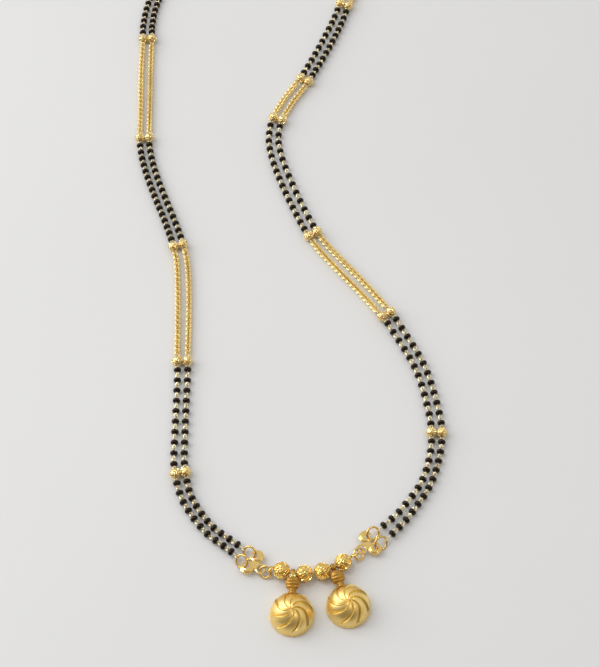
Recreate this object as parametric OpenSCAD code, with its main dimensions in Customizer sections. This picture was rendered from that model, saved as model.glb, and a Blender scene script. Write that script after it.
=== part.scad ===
// A mangalsutra laid flat: two strands of black beads on linked wire with stretches of gold
// chain, soldered pairs of gold balls between them, and at the front a bar of cut gold balls
// that carries two hollow domed pendants (vati). The surface that it lies on is z = 0.

/* [Black beads] */
// Diameter of a black bead
bead_d = 2.25; // [1.9:0.05:2.4]
// Length of a black bead along its wire
bead_len = 1.2; // [1:0.1:1.6]
// Hole through a black bead
bead_bore = 0.8; // [0.7:0.05:1]
// Diameter of the wire that carries the beads
wire_d = 0.45; // [0.35:0.05:0.5]
// Width of the bent wire between two beads
eye_w = 1.1; // [0.8:0.05:1.2]

/* [Strands] */
// Distance between the two strands at a spacer
strand_gap = 3; // [2.8:0.1:3.4]
// Width of the gold chain
chain_d = 1.8; // [1.4:0.1:2]
// Ball of a spacer pair
spacer_d = 3.1; // [2.8:0.1:3.4]
// Hole through a spacer ball
spacer_bore = 1; // [0.9:0.05:1.2]
// Solder between the two balls of a spacer pair
solder_d = 1.3; // [1:0.1:1.6]

/* [Bar of balls] */
// Ball on the bar
ball_d = 4.7; // [4.2:0.1:5.2]
// Hole through a ball on the bar
ball_bore = 1.3; // [1.2:0.1:1.6]
// Wire of the bar
bar_wire_d = 0.7; // [0.6:0.05:0.8]
// Inner diameter of the eye at each end of the bar
bar_eye_d = 1; // [0.9:0.1:1.3]

/* [Rings and connectors] */
// Wire of the round rings
ring_wire_d = 0.55; // [0.45:0.05:0.6]
// Outer diameter of a ring that carries a strand
strand_ring_d = 4.1; // [3.6:0.1:4.4]
// Outer diameter of the ring between the bar and a connector
link_ring_d = 3.7; // [3.5:0.1:4]
// Diameter of a lobe of the connector
lobe_d = 3.6; // [3.4:0.1:4]
// Distance between the two lobes of a connector
lobe_gap = 4.2; // [4:0.1:4.6]
// Thickness of the connector's plate
plate_t = 0.5; // [0.4:0.05:0.6]
// Hole in a lobe
lobe_hole_d = 1.8; // [1.75:0.05:1.9]
// Hole in the stem
stem_hole_d = 2; // [1.95:0.05:2.1]
// Width of the stem
stem_d = 2.9; // [2.8:0.1:3.1]
// Length of the stem from the line of the lobes to its hole
stem_reach = 3; // [2.8:0.1:3.1]
// Height of the round swelling on each lobe
cap_h = 0.25; // [0.15:0.05:0.3]

/* [Pendants] */
// Width of a dome at its rim
dome_d = 12; // [10:0.2:13]
// Height of a dome
dome_h = 5.5; // [4.5:0.1:6.5]
// Wall of a dome
dome_wall = 0.6; // [0.5:0.05:0.9]
// Height of the flat rim
rim_h = 0.6; // [0.4:0.1:1]
// Spiral flutes on a dome
flutes = 8; // [6:1:10]
// Depth of a flute
flute_depth = 0.45; // [0.2:0.05:0.6]
// Turn of a flute from the top to the rim, in degrees
flute_turn = 90; // [60:10:160]
// Length of the ribbed barrel above a dome
barrel_len = 3.6; // [3:0.1:3.8]
// Diameter of the ribbed barrel
barrel_d = 3.6; // [3:0.1:3.8]
// Ribs round the barrel
barrel_ribs = 10; // [6:1:12]
// Width of the narrow loop of a pendant round the bar
loop_w = 1.1; // [1:0.1:1.6]
// Height of the barrel above the surface
barrel_lift = 0.9; // [0.2:0.1:1.2]
// Neck between the barrel and the dome
neck_d = 2; // [1.4:0.1:2.2]

/* [Clasp] */
// Wire of the hook
hook_wire_d = 0.9; // [0.7:0.05:1]
// Mean width of each bow of the hook
hook_bow_d = 3.2; // [3:0.1:3.8]
// Outer diameter of a ring at the hook
end_ring_d = 5; // [4.6:0.1:5.6]
// Wire of a ring at the hook
end_ring_wire_d = 0.7; // [0.5:0.05:0.8]

/* [Hidden] */
// Round faces are drawn fine, and swept wires with few sides
$fn = 48;
// Gap between pieces that meet
gap = 0.2;
// Width across the flats of a cut ball, as a share of its diameter: the six that face along its
// own directions, one of which it rests on, and the twelve between them
ball_flat = 0.94;
ball_corner_flat = 0.955;
// Metal left beside a hole in the connector's plate
plate_edge = 0.35;
// Play of a strand's ring in the eye of its wire, and distance of the connector's holes as a
// share of its lobes' distance
eye_play = 0.15;
hole_share = 0.86;
// Tilt about its line of pull of a ring at the hook, and of a ring that carries a strand
ring_tilt = 50;
strand_tilt = 43;
// Sides of a thin wire, of a chain's tube and of a bent wire eye
wire_sides = 5;
tube_sides = 8;
eye_sides = 12;
// Spacing of the chain tube's sections, in widths
tube_step = 2.6;
// Points between two route points
route_steps = 6;

// Middle of the laid necklace, in the measure that the routes are written in
lay_mid = [-6.05, 45.55];

// Routes of the strands' middle line, from the connector's rings outward. Each row but the first
// starts at a spacer pair.
left_route = [
    [[-21, -66], [-24.3, -63.5], [-27.1, -60.4], [-29.5, -57], [-31.5, -53.5],
        [-32.8, -49.6]],
    [[-33.5, -45.9], [-34.1, -42], [-34.2, -32.5], [-34.2, -23], [-34.2, -14]],
    [[-34.4, -10.1], [-34.7, 4], [-35.2, 16], [-36, 25]],
    [[-37.3, 30.3], [-38.4, 34], [-40.3, 39.5], [-42.5, 45.2], [-44.7, 51], [-46.7, 56.7],
        [-48.4, 62.5], [-49.5, 68]],
    [[-49.8, 71.6], [-50.3, 85], [-50.8, 99]],
    [[-51, 113], [-51.3, 117.5], [-51.1, 121.5], [-50.7, 125.5], [-49.8, 130], [-48.5, 135],
        [-47.2, 140]],
    [[-45.8, 146.5], [-43, 155], [-38, 163.5], [-31.5, 171], [-23, 177], [-16, 180.5]]
];
right_route = [
    [[28, -59.2], [31.1, -55.2], [34.1, -51], [36.3, -46.5], [37.8, -41.6],
        [38.7, -37]],
    [[38.9, -33.3], [38.8, -29.5], [38, -24], [36.9, -18.6], [35.5, -13.3], [33.4, -8.1],
        [30.9, -3.2], [28.1, 2]],
    [[25.8, 5.9], [19.5, 14.5], [13, 22.5], [7, 30]],
    [[4, 34.5], [2.3, 38], [-0.3, 44], [-2.8, 50.2], [-5.1, 56.6], [-7.1, 63], [-8.4, 69.7],
        [-8.2, 75]],
    [[-7.2, 79.3], [-3.5, 87.5]],
    [[1.6, 95.4], [2.9, 98.5], [4.9, 102.6], [6.9, 107], [8.8, 111.3], [10.6, 115.7],
        [12.4, 120.2], [13.9, 124.6]],
    [[15, 128.2], [18.3, 136.5], [20.6, 145.5], [21, 155], [18.8, 164], [14, 172], [8, 178]]
];
// Legs between those spacers: beads on the inner and the outer strand, none on a chain, then
// the strands' distance at the start, half way and at the end, as shares of strand_gap
left_legs = [
    [10, 10, 0.9, 0.84, 1],
    [10, 10, 1, 0.95, 1],
    [0, 0, 1, 1.12, 1],
    [15, 16, 1, 0.97, 1],
    [0, 0, 1, 1, 1],
    [12, 12, 1, 1, 1],
    [0, 0, 1, 1, 0.7]
];
right_legs = [
    [11, 12, 1.15, 0.86, 1],
    [12, 12, 1, 0.95, 1],
    [0, 0, 1, 1.08, 1],
    [15, 13, 1, 1.05, 1],
    [0, 0, 1, 1.05, 1],
    [11, 12, 1, 1.05, 1],
    [0, 0, 1, 1, 0.7]
];
// The bar is an arc: its middle between the second and third ball, its direction there in
// degrees, and its radius
bar_mid = [3.6, -75.8];
bar_dir = 8;
bar_r = 20;
// Directions in which the pendants hang, in degrees from straight to the front
hang_left = -1;
hang_right = 21;
// Left and right: directions from the bar's ends to the middles of their eyes, middles of the
// connectors, the connectors' directions of pull, and tilts of the link rings
eye_dir = [238, 20];
plate_mid = [[-13, -72.5], [19.2, -66.95]];
plate_dir = [140, 37];
link_tilt = [-35, 38];
// Middle of the hook
hook_mid = [-3.5, 182];

SIDES = ["left", "right"];
STRINGS = [[0, 1], [3, 3], [5, 5]];
CHAIN_LEGS = [2, 4, 6];

function unit(v) = v / norm(v);
function turned(v, a) = [v.x * cos(a) - v.y * sin(a), v.x * sin(a) + v.y * cos(a)];
function heading(v) = atan2(v.y, v.x);
function lift(p, z) = [p.x, p.y, z];
function mix(a, b, t) = a + (b - a) * t;

// Bar of balls
ball_pitch = ball_d + gap;
loop_pitch = ball_d + loop_w + 2 * gap;
ball_at = [-ball_pitch / 2 - loop_pitch, -ball_pitch / 2, ball_pitch / 2, ball_pitch / 2 + loop_pitch];
loop_at = [ball_at[1] - loop_pitch / 2, ball_at[2] + loop_pitch / 2];
bar_eye_r = (bar_eye_d + bar_wire_d) / 2;
bar_end = ball_at[3] + ball_d / 2 + gap + bar_wire_d / 2;
bar_z = ball_flat * ball_d / 2;
bar_centre = bar_mid - lay_mid + bar_r * turned([0, 1], bar_dir);
function bar_angle(s) = bar_dir + s / bar_r * 180 / PI;
function bar_point(s) = bar_centre + bar_r * turned([0, -1], bar_angle(s));

// Rings, connectors and where the strands start, along each connector's line of pull
link_r = (link_ring_d - ring_wire_d) / 2;
strand_ring_r = (strand_ring_d - ring_wire_d) / 2;
end_ring_r = (end_ring_d - end_ring_wire_d) / 2;
wire_eye_r = (ring_wire_d + wire_d) / 2 + eye_play;
hole_reach = lobe_d / 2 - lobe_hole_d / 2 - plate_edge;
hole_gap = lobe_gap * hole_share;
plate_z = strand_ring_r * sin(strand_tilt) + ring_wire_d / 2;
start_reach = wire_eye_r + wire_d / 2;
function hand(side) = side == "left" ? 0 : 1;
function bar_eye(side) =
    bar_point((side == "left" ? -1 : 1) * bar_end) + bar_eye_r * turned([1, 0], eye_dir[hand(side)]);
function route_rows(side) = side == "left" ? left_route : right_route;
function legs(side) = side == "left" ? left_legs : right_legs;
function along_pull(side, reach, across = 0) = let (pull = turned([1, 0], plate_dir[hand(side)]))
    plate_mid[hand(side)] - lay_mid + reach * pull + across * turned(pull, inner_turn(side));
// The inner strand is on the right of the left side's route, and on the left of the right one's
function inner_turn(side) = side == "left" ? -90 : 90;

// Clasp
hook_r = hook_bow_d / 2;
ring_from_hook = hook_r + (hook_bow_d - hook_wire_d) / 2 - end_ring_wire_d / 2 - gap;
end_eye_wire_d = 0.65;
end_eye_r = (end_ring_wire_d + end_eye_wire_d) / 2 + gap;
// The eyes of the two chains sit side by side round the end ring, this far to each side of its
// middle, in degrees
eye_spread = 28;
chain_from_hook = ring_from_hook + 2 * end_ring_r;
end_ring_z = end_ring_r * sin(ring_tilt) + end_ring_wire_d / 2;
function hook_side(side) = side == "left" ? -1 : 1;
function from_hook(side, reach) = hook_mid - lay_mid + [hook_side(side) * reach, 0];

// Route of each side as one smooth line with its running length
function flat(rows) = [for (r = rows) each r];
function spline(a, b, c, d, t) = 0.5 * (2 * b + (c - a) * t + (2 * a - 5 * b + 4 * c - d) * t * t
    + (3 * b - a - 3 * c + d) * t * t * t);
function smooth(p) = let (n = len(p)) [
    for (i = [0:n - 2], j = [0:route_steps - 1])
        spline(p[max(i - 1, 0)], p[i], p[i + 1], p[min(i + 2, n - 1)], j / route_steps),
    p[n - 1]
];
function running(q) = [
    for (i = 0, s = 0; i < len(q); s = i + 1 < len(q) ? s + norm(q[i + 1] - q[i]) : s, i = i + 1) s
];
function full_route(side) = concat(
    [along_pull(side, hole_reach + 2 * strand_ring_r + start_reach)],
    [for (p = flat(route_rows(side))) p - lay_mid],
    [from_hook(side, chain_from_hook + end_eye_r)]
);
LINE_L = smooth(full_route("left"));
LINE_R = smooth(full_route("right"));
RUN_L = running(LINE_L);
RUN_R = running(LINE_R);
TABLES_L = [for (k = [0, 1]) [for (i = [0:len(LINE_L) - 1]) [RUN_L[i], LINE_L[i][k]]]];
TABLES_R = [for (k = [0, 1]) [for (i = [0:len(LINE_R) - 1]) [RUN_R[i], LINE_R[i][k]]]];
function tables(side) = side == "left" ? TABLES_L : TABLES_R;
function on_line(side, s) = [lookup(s, tables(side)[0]), lookup(s, tables(side)[1])];
// Running length at the start of each leg, and at the end of the last
function points_before(side, leg) =
    leg == 0 ? 1 : points_before(side, leg - 1) + len(route_rows(side)[leg - 1]);
function run_at(side, i) = let (run = side == "left" ? RUN_L : RUN_R) run[min(i * route_steps, len(run) - 1)];
function stops_of(side) = [
    0,
    for (leg = [1:len(legs(side)) - 1]) run_at(side, points_before(side, leg)),
    run_at(side, points_before(side, len(legs(side))))
];
STOPS_L = stops_of("left");
STOPS_R = stops_of("right");
function stop(side, i) = side == "left" ? STOPS_L[i] : STOPS_R[i];

// Half the strands' distance along a leg, and the height of their middle line: a strand lies on
// the surface and rises to the hole of a spacer ball, a ring or the hook's ring
function leg_share(side, leg, s) = (s - stop(side, leg)) / (stop(side, leg + 1) - stop(side, leg));
function half_gap(side, leg, s) = let (row = legs(side)[leg], t = leg_share(side, leg, s))
    strand_gap / 2 * (mix(row[2], row[4], t) + (row[3] - mix(row[2], row[4], 0.5)) * sin(180 * t));
function stop_z(i) = i == 0 ? plate_z : i == len(left_legs) ? end_ring_z : spacer_z;
spacer_z = ball_flat * spacer_d / 2;
rise_len = 7;
function rise(d) = d >= rise_len ? 0 : pow(cos(90 * d / rise_len), 2);
function strand_z(side, leg, s, rest_z) = rest_z
    + (stop_z(leg) - rest_z) * rise(s - stop(side, leg))
    + (stop_z(leg + 1) - rest_z) * rise(stop(side, leg + 1) - s);
// A point of a strand: strand 0 is the inner one and 1 the outer one
function strand_point(side, leg, strand, s, rest_z) =
    let (ahead = unit(on_line(side, s + 1) - on_line(side, s - 1)),
        inward = turned(ahead, inner_turn(side)),
        way = strand == 0 ? 1 : -1)
    lift(on_line(side, s) + way * half_gap(side, leg, s) * inward, strand_z(side, leg, s, rest_z));

// Beads of a leg, evenly spaced between its ends
function bead_count(side, leg, strand) = legs(side)[leg][strand];
function lead_in(leg) = (leg == 0 ? 0 : spacer_d / 2) + eye_w * 0.7 + bead_len / 2;
function bead_run(side, leg, strand, i) =
    let (from = stop(side, leg) + lead_in(leg), to = stop(side, leg + 1) - lead_in(leg + 1))
    mix(from, to, i / (bead_count(side, leg, strand) - 1));
function bead_point(side, leg, strand, s) = strand_point(side, leg, strand, s, bead_d / 2);

// Sections of a swept wire: points, a direction and a radius at each, then one closed solid
function section(p, ahead, r, sides) =
    let (across = unit(cross([0, 0, 1], ahead)), up = cross(ahead, across))
    [for (k = [0:sides - 1]) let (a = 360 * (k + 0.5) / sides - 90) p + r * (cos(a) * across + sin(a) * up)];
function ahead_at(pts, i) = unit(pts[min(i + 1, len(pts) - 1)] - pts[max(i - 1, 0)]);

module swept(pts, radii, sides) {
    n = len(pts);
    rings = [for (i = [0:n - 1]) each section(pts[i], ahead_at(pts, i), radii[i], sides)];
    walls = [for (i = [0:n - 2], k = [0:sides - 1]) let (a = i * sides + k, b = i * sides + (k + 1) % sides)
        each [[a, a + sides, b], [b, a + sides, b + sides]]];
    start = [for (k = [0:sides - 1]) k];
    end = [for (k = [0:sides - 1]) n * sides - 1 - k];
    polyhedron(rings, concat(walls, [start, end]));
}

module ring(mean_r, wire) {
    rotate_extrude() translate([mean_r, 0]) circle(d = wire, $fn = 24);
}

// Lays what is drawn along X at a point, in a direction and tilted about it
module along(p, dir, tilt = 0, dip = 0) {
    translate(p) rotate([tilt, dip, dir]) children();
}

module bead() {
    r = bead_d / 2;
    face_r = r * 0.72;
    half = bead_len / 2;
    flat_half = half * 0.45;
    rotate([0, 90, 0]) rotate_extrude() polygon([
        [bead_bore / 2, -half], [face_r, -half], [r, -flat_half], [r, flat_half], [face_r, half],
        [bead_bore / 2, half]
    ]);
}

// The beads of a string: both strands of the legs from first to last
module beads(side, first, last) {
    color([0.03, 0.03, 0.03])
        for (leg = [first:last], strand = [0, 1], i = [0:bead_count(side, leg, strand) - 1]) {
            s = bead_run(side, leg, strand, i);
            a = bead_point(side, leg, strand, s - bead_len / 2);
            b = bead_point(side, leg, strand, s + bead_len / 2);
            along((a + b) / 2, heading(b - a), 0, -asin(unit(b - a).z)) bead();
        }
}

// Running lengths and widths of a string's wire: it widens into bent eyes between the beads
function wire_leg(side, leg, strand) =
    let (n = bead_count(side, leg, strand), half = bead_len / 2)
    [for (i = [0:n - 1]) let (s = bead_run(side, leg, strand, i))
        each [[leg, s - half, wire_d], [leg, s + half, wire_d],
            if (i < n - 1) [leg, (s + bead_run(side, leg, strand, i + 1)) / 2, eye_w]]];
function wire_rows(side, first, last, strand) =
    let (tip = first == 0 ? 0 : -spacer_d / 2)
    concat(
        [[first, stop(side, first) + tip, wire_d]],
        [for (leg = [first:last]) each concat(
            leg == 0 ? [] : [[leg, stop(side, leg), wire_d]],
            wire_leg(side, leg, strand))],
        [[last, stop(side, last + 1), wire_d], [last, stop(side, last + 1) + spacer_d / 2, wire_d]]
    );

module string_wire(side, first, last) {
    color([0.88, 0.7, 0.35])
        for (strand = [0, 1]) {
            rows = wire_rows(side, first, last, strand);
            pts = [for (r = rows) bead_point(side, r[0], strand, r[1])];
            swept(pts, [for (r = rows) r[2] / 2], wire_sides);
            if (first == 0) wire_eye(side, strand, pts[0]);
        }
}

// The eye by which a strand's wire hangs on its ring
module wire_eye(side, strand, tip) {
    far = strand_ring_far(side, strand);
    ahead = tip - far;
    along(far, heading(ahead), across_ring(side))
        rotate_extrude($fn = eye_sides) translate([wire_eye_r, 0]) circle(d = wire_d, $fn = 6);
    swept([far + unit(ahead) * wire_eye_r, tip + unit(ahead) * 0.2], [wire_d / 2, wire_d / 2], wire_sides);
}

// A chain's tube, with the last link of the hidden chain round the hook's ring
function chain_z() = chain_d / 2 * cos(180 / tube_sides);
module chain_tube(side, leg, strand) {
    last = len(left_legs) - 1;
    from = stop(side, leg) + spacer_d / 2 + gap;
    to = stop(side, leg + 1) - (leg == last ? 0 : spacer_d / 2 + gap);
    steps = ceil((to - from) / (tube_step * chain_d));
    run = [for (i = [0:steps]) strand_point(side, leg, strand, mix(from, to, i / steps), chain_z())];
    pts = leg == last ? [for (i = [0:steps]) i < steps ? run[i] : end_eye_rim(side, strand)] : run;
    color([0.93, 0.72, 0.28]) {
        radii = [for (i = [0:steps]) (leg == last && i == steps ? end_eye_wire_d : chain_d) / 2];
        swept(pts, radii, tube_sides);
        if (leg == last) in_end_ring(side) rotate([0, 0, end_eye_turn(side, strand)])
            translate([end_ring_r, 0, 0]) rotate([90, 0, 0]) rotate_extrude($fn = eye_sides)
            translate([end_eye_r, 0]) circle(d = end_eye_wire_d, $fn = 6);
    }
}

// Balls with flat cuts, as a diamond cutter leaves them
module cut_ball(d, bore) {
    flats = d * ball_flat;
    corner_flats = d * ball_corner_flat;
    difference() {
        intersection() {
            sphere(d = d);
            cube(flats, center = true);
            rotate([45, 0, 0]) cube(corner_flats, center = true);
            rotate([0, 45, 0]) cube(corner_flats, center = true);
            rotate([0, 0, 45]) cube(corner_flats, center = true);
        }
        rotate([0, 90, 0]) cylinder(d = bore, h = d + 1, center = true);
    }
}

// A pair of balls soldered side by side, which holds the strands apart
module spacer(side, i) {
    s = stop(side, i);
    ahead = on_line(side, s + 1) - on_line(side, s - 1);
    color([0.95, 0.74, 0.3]) along(lift(on_line(side, s), spacer_z), heading(ahead))
        difference() {
            union() {
                for (way = [-1, 1]) translate([0, way * strand_gap / 2, 0]) cut_ball(spacer_d, spacer_bore);
                rotate([90, 0, 0]) cylinder(d = solder_d, h = strand_gap, center = true);
            }
            for (way = [-1, 1]) translate([0, way * strand_gap / 2, 0]) rotate([0, 90, 0])
                cylinder(d = spacer_bore, h = spacer_d + 1, center = true);
        }
}

module bar_ball(i) {
    color([0.95, 0.74, 0.3]) along(lift(bar_point(ball_at[i]), bar_z), bar_angle(ball_at[i]))
        cut_ball(ball_d, ball_bore);
}

// The bar: one bent wire with an eye at each end
module bar_wire() {
    reach = bar_end / bar_r * 180 / PI;
    color([0.93, 0.72, 0.28]) {
        translate(lift(bar_centre, bar_z)) rotate([0, 0, bar_dir - 90 - reach])
            rotate_extrude(angle = 2 * reach) translate([bar_r, 0]) circle(d = bar_wire_d, $fn = 24);
        for (side = SIDES) along(lift(bar_eye(side), bar_z), eye_dir[hand(side)], eye_tilt(side))
            ring(bar_eye_r, bar_wire_d);
    }
}

// The link ring hangs to the front from the bar's eye and from the hole in the connector's stem.
// It is drawn round the middle between the two, and hangs link_hang to the side
function stem_hole(side) = lift(along_pull(side, -stem_reach), plate_z);
function link_span(side) = stem_hole(side) - lift(bar_eye(side), bar_z);
function link_dip(side) = -asin(unit(link_span(side)).z);
function link_hang(side) = -tilt_way(side) * sqrt(link_r * link_r - pow(norm(link_span(side)) / 2, 2));
module link_ring(side) {
    middle = stem_hole(side) - link_span(side) / 2;
    color([0.95, 0.78, 0.4]) along(middle, heading(link_span(side)), link_tilt[hand(side)], link_dip(side))
        translate([0, link_hang(side), 0]) ring(link_r, ring_wire_d);
}

// The bar's eye turns about its own direction until it stands across the link ring's wire
function link_wire_way(side) = let (ahead = unit(link_span(side)), dir = heading(ahead),
        flat = concat(turned([0, 1], dir), 0), up = cross(ahead, flat), t = link_tilt[hand(side)])
    link_hang(side) * ahead - norm(link_span(side)) / 2 * (cos(t) * flat + sin(t) * up);
function eye_tilt(side) = let (way = link_wire_way(side), dir = eye_dir[hand(side)])
    atan2(-turned(way, -dir).y, way.z);

// Rings tilt so that they face the front, and an eye that hangs on one stands across it
function tilt_way(side) = side == "left" ? -1 : 1;
function across_ring(side) = tilt_way(side) * (strand_tilt - 90);

function lobe_hole(side, strand) =
    lift(along_pull(side, hole_reach, (strand == 0 ? 1 : -1) * hole_gap / 2), plate_z);
function strand_ring_far(side, strand) =
    let (tip = bead_point(side, 0, strand, 0), hole = lobe_hole(side, strand))
    hole + 2 * strand_ring_r * unit([tip.x - hole.x, tip.y - hole.y, 0]);
module strand_ring(side, strand) {
    hole = lobe_hole(side, strand);
    far = strand_ring_far(side, strand);
    color([0.95, 0.78, 0.4]) along((hole + far) / 2, heading(far - hole), strand_tilt * tilt_way(side))
        ring(strand_ring_r, ring_wire_d);
}

// Connector: a plate of two round lobes and a stem, each lobe domed, with three holes
module connector(side) {
    cap_d = lobe_d * 0.76;
    cap_shift = 0.2;
    waist = stem_d * 0.36;
    through = plate_t + 2 * cap_h + 1;
    ball_r = (cap_d * cap_d / 4 + cap_h * cap_h) / (2 * cap_h);
    color([0.93, 0.72, 0.28])
        along(lift(along_pull(side, 0), plate_z), plate_dir[hand(side)])
        difference() {
            union() {
                linear_extrude(plate_t, center = true) {
                    for (way = [-1, 1]) translate([0, way * lobe_gap / 2]) circle(d = lobe_d);
                    translate([-stem_reach, 0]) circle(d = stem_d);
                    polygon([
                        [0, lobe_gap / 2], [-stem_reach / 2, waist], [-stem_reach, waist],
                        [-stem_reach, -waist], [-stem_reach / 2, -waist], [0, -lobe_gap / 2]
                    ]);
                }
                for (way = [-1, 1])
                    translate([-cap_shift, way * lobe_gap / 2, plate_t / 2 + cap_h - ball_r]) intersection() {
                        sphere(r = ball_r);
                        translate([0, 0, ball_r]) cube([lobe_d, lobe_d, 2 * cap_h + 0.1], center = true);
                    }
            }
            for (way = [-1, 1]) translate([hole_reach, way * hole_gap / 2])
                cylinder(d = lobe_hole_d, h = through, center = true);
            translate([-stem_reach, 0]) cylinder(d = stem_hole_d, h = through, center = true);
        }
}

// Flute: a ridge that falls off gently over most of its width and rises steeply to the next
flute_fall = 0.8;
function flute(u) = u < flute_fall ? cos(90 * u / flute_fall) : (u - flute_fall) / (1 - flute_fall);
// Points of a dome's wall: turned rows from the rim to the top, with fluting as an extra
flute_cols = 6;
dome_cols = flutes * flute_cols;
dome_rows = 10;
// Flutes start above a plain band at the rim, as a share of the way to the top
plain_band = 0.15;
function fade(t) = t <= plain_band ? 0 : sqrt(sin(180 * (t - plain_band) / (1 - plain_band)));
function dome_row(r, h, t, depth) = let (up = 90 * t, base_r = r * cos(up), turn = -flute_turn * cos(up))
    [for (k = [0:dome_cols - 1]) let (u = (k % flute_cols) / flute_cols, a = 360 * k / dome_cols + turn,
            out = depth * fade(t) * flute(u))
        [(base_r + out * cos(up)) * cos(a), (base_r + out * cos(up)) * sin(a), h * sin(up) + out * sin(up)]];

module dome() {
    r = dome_d / 2;
    low = rim_h / 2;
    tall = dome_h - low;
    outer = [for (i = [0:dome_rows - 1]) each dome_row(r - 0.05, tall, i / dome_rows, flute_depth)];
    inner = [for (i = [0:dome_rows - 1]) each dome_row(r - dome_wall, tall - dome_wall, i / dome_rows, 0)];
    n = dome_rows * dome_cols;
    tops = [[0, 0, tall], [0, 0, tall - dome_wall]];
    function at(i, k, base) = base + i * dome_cols + k % dome_cols;
    shell = [for (i = [0:dome_rows - 2], k = [0:dome_cols - 1]) each [
        [at(i, k, 0), at(i + 1, k, 0), at(i, k + 1, 0)],
        [at(i, k + 1, 0), at(i + 1, k, 0), at(i + 1, k + 1, 0)],
        [at(i, k, n), at(i, k + 1, n), at(i + 1, k, n)],
        [at(i, k + 1, n), at(i + 1, k + 1, n), at(i + 1, k, n)]
    ]];
    ends = [for (k = [0:dome_cols - 1]) each [
        [at(dome_rows - 1, k, 0), 2 * n, at(dome_rows - 1, k + 1, 0)],
        [at(dome_rows - 1, k, n), at(dome_rows - 1, k + 1, n), 2 * n + 1],
        [at(0, k, 0), at(0, k + 1, 0), at(0, k, n)],
        [at(0, k + 1, 0), at(0, k + 1, n), at(0, k, n)]
    ]];
    translate([0, 0, low]) polyhedron(concat(outer, inner, tops), concat(shell, ends));
    rotate_extrude($fn = 96) translate([r - dome_wall - 0.1, 0]) square([dome_wall + 0.1, rim_h]);
}

// Barrel between the loop and the dome, turned about the bar's direction and ribbed
module barrel_turn(extra, length, angle) {
    bulge_r = 2.1 + extra;
    crown = barrel_d / 2 + extra;
    rotate([0, 90, 0]) rotate_extrude(angle = angle) intersection() {
        translate([crown - bulge_r, 0]) circle(r = bulge_r);
        translate([0, -length / 2]) square([crown, length]);
    }
}

// A pendant: a narrow loop round the bar, a ribbed barrel, a neck and a hollow fluted dome, all
// soldered together
module pendant(s, hang) {
    rib_h = 0.15;
    barrel_z = barrel_d / 2 + rib_h + barrel_lift - bar_z;
    barrel_tuck = 0.9;
    barrel_reach = ball_d / 2 + barrel_d / 2 - barrel_tuck;
    dome_reach = barrel_reach + barrel_d / 2 + dome_d / 2 + 0.1;
    neck_root = 0.5;
    neck_start = barrel_reach + barrel_d / 2 - neck_root;
    neck_len = 1.75;
    loop_r = bar_wire_d / 2 + gap;
    loop_t = 0.5;
    rib_angle = 360 / barrel_ribs / 2;
    color([0.9, 0.68, 0.27]) along(lift(bar_point(s), bar_z), hang) {
        along([0, 0, 0], bar_angle(s) - hang)
            rotate([0, 90, 0]) rotate_extrude() translate([loop_r, -loop_w / 2]) square([loop_t, loop_w]);
        translate([0, -loop_r - loop_t / 2, 0]) rotate([90, 0, 0])
            linear_extrude(barrel_reach - loop_r - loop_t)
            square([loop_w * 0.9, loop_t * 1.6], center = true);
        translate([0, -barrel_reach, barrel_z]) {
            barrel_turn(0, barrel_len, 360);
            for (i = [0:barrel_ribs - 1]) rotate([360 * i / barrel_ribs, 0, 0])
                barrel_turn(rib_h, barrel_len - 0.4, rib_angle);
        }
        translate([0, -neck_start, barrel_z]) rotate([90, 0, 0]) cylinder(d = neck_d, h = neck_len);
        translate([0, -dome_reach, -bar_z]) dome();
    }
}

// Clasp: two rings, and a plain hook of two bows that holds them
function end_ring_mid(side) = lift(from_hook(side, ring_from_hook + end_ring_r), end_ring_z);
module in_end_ring(side) {
    along(end_ring_mid(side), 0, ring_tilt) children();
}

module end_ring(side) {
    color([0.95, 0.78, 0.4]) in_end_ring(side) ring(end_ring_r, end_ring_wire_d);
}

// Where a chain's eye sits on the end ring, and the point of its rim where the chain joins it
function end_eye_turn(side, strand) = let (a = (strand == 0 ? -1 : 1) * eye_spread)
    side == "left" ? 180 - a : a;
function end_eye_rim(side, strand) = let (a = end_eye_turn(side, strand), r = end_ring_r + end_eye_r)
    end_ring_mid(side) + r * [cos(a), sin(a) * cos(ring_tilt), sin(a) * sin(ring_tilt)];

module hook() {
    open_angle = 70;
    color([0.93, 0.72, 0.28]) translate(lift(hook_mid - lay_mid, end_ring_z))
        for (turn = [0, 180]) rotate([0, 0, turn]) translate([hook_r, 0, 0]) rotate([0, 0, 180])
            rotate_extrude(angle = 360 - open_angle) translate([hook_r, 0]) circle(d = hook_wire_d, $fn = 24);
}

function beads_name(side, i) = str("black_beads_", side, "_", i + 1);
function wire_name(side, i) = str("bead_wire_", side, "_", i + 1);
function chain_name(side, i, strand) = str("chain_", side, "_", i + 1, strand == 0 ? "_inner" : "_outer");
function spacer_name(side, i) = str("spacer_", side, "_", i);
function strand_ring_name(side, strand) = str("strand_ring_", side, strand == 0 ? "_inner" : "_outer");

bar_wire();
pendant(loop_at[0], hang_left);  // pendant_left
pendant(loop_at[1], hang_right);  // pendant_right
hook();
for (i = [0:3]) bar_ball(i);
for (side = SIDES) {
    link_ring(side);
    connector(side);
    end_ring(side);
    for (strand = [0, 1])
        strand_ring(side, strand);
    for (i = [0:2]) {
        beads(side, STRINGS[i][0], STRINGS[i][1]);
        string_wire(side, STRINGS[i][0], STRINGS[i][1]);
        for (strand = [0, 1])
            chain_tube(side, CHAIN_LEGS[i], strand);
    }
    for (i = [1:6]) spacer(side, i);
}
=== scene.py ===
"""A laid-out mangalsutra: black beads on linked eye pins, gold chain, cut gold balls and two
fluted domes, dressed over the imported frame. Sizes in the settings are in metres; the pieces are
shaped in millimetres and brought to metres when they are placed."""

import math

import bmesh
import bpy
import numpy as np
from mathutils import Matrix, Vector


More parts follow.
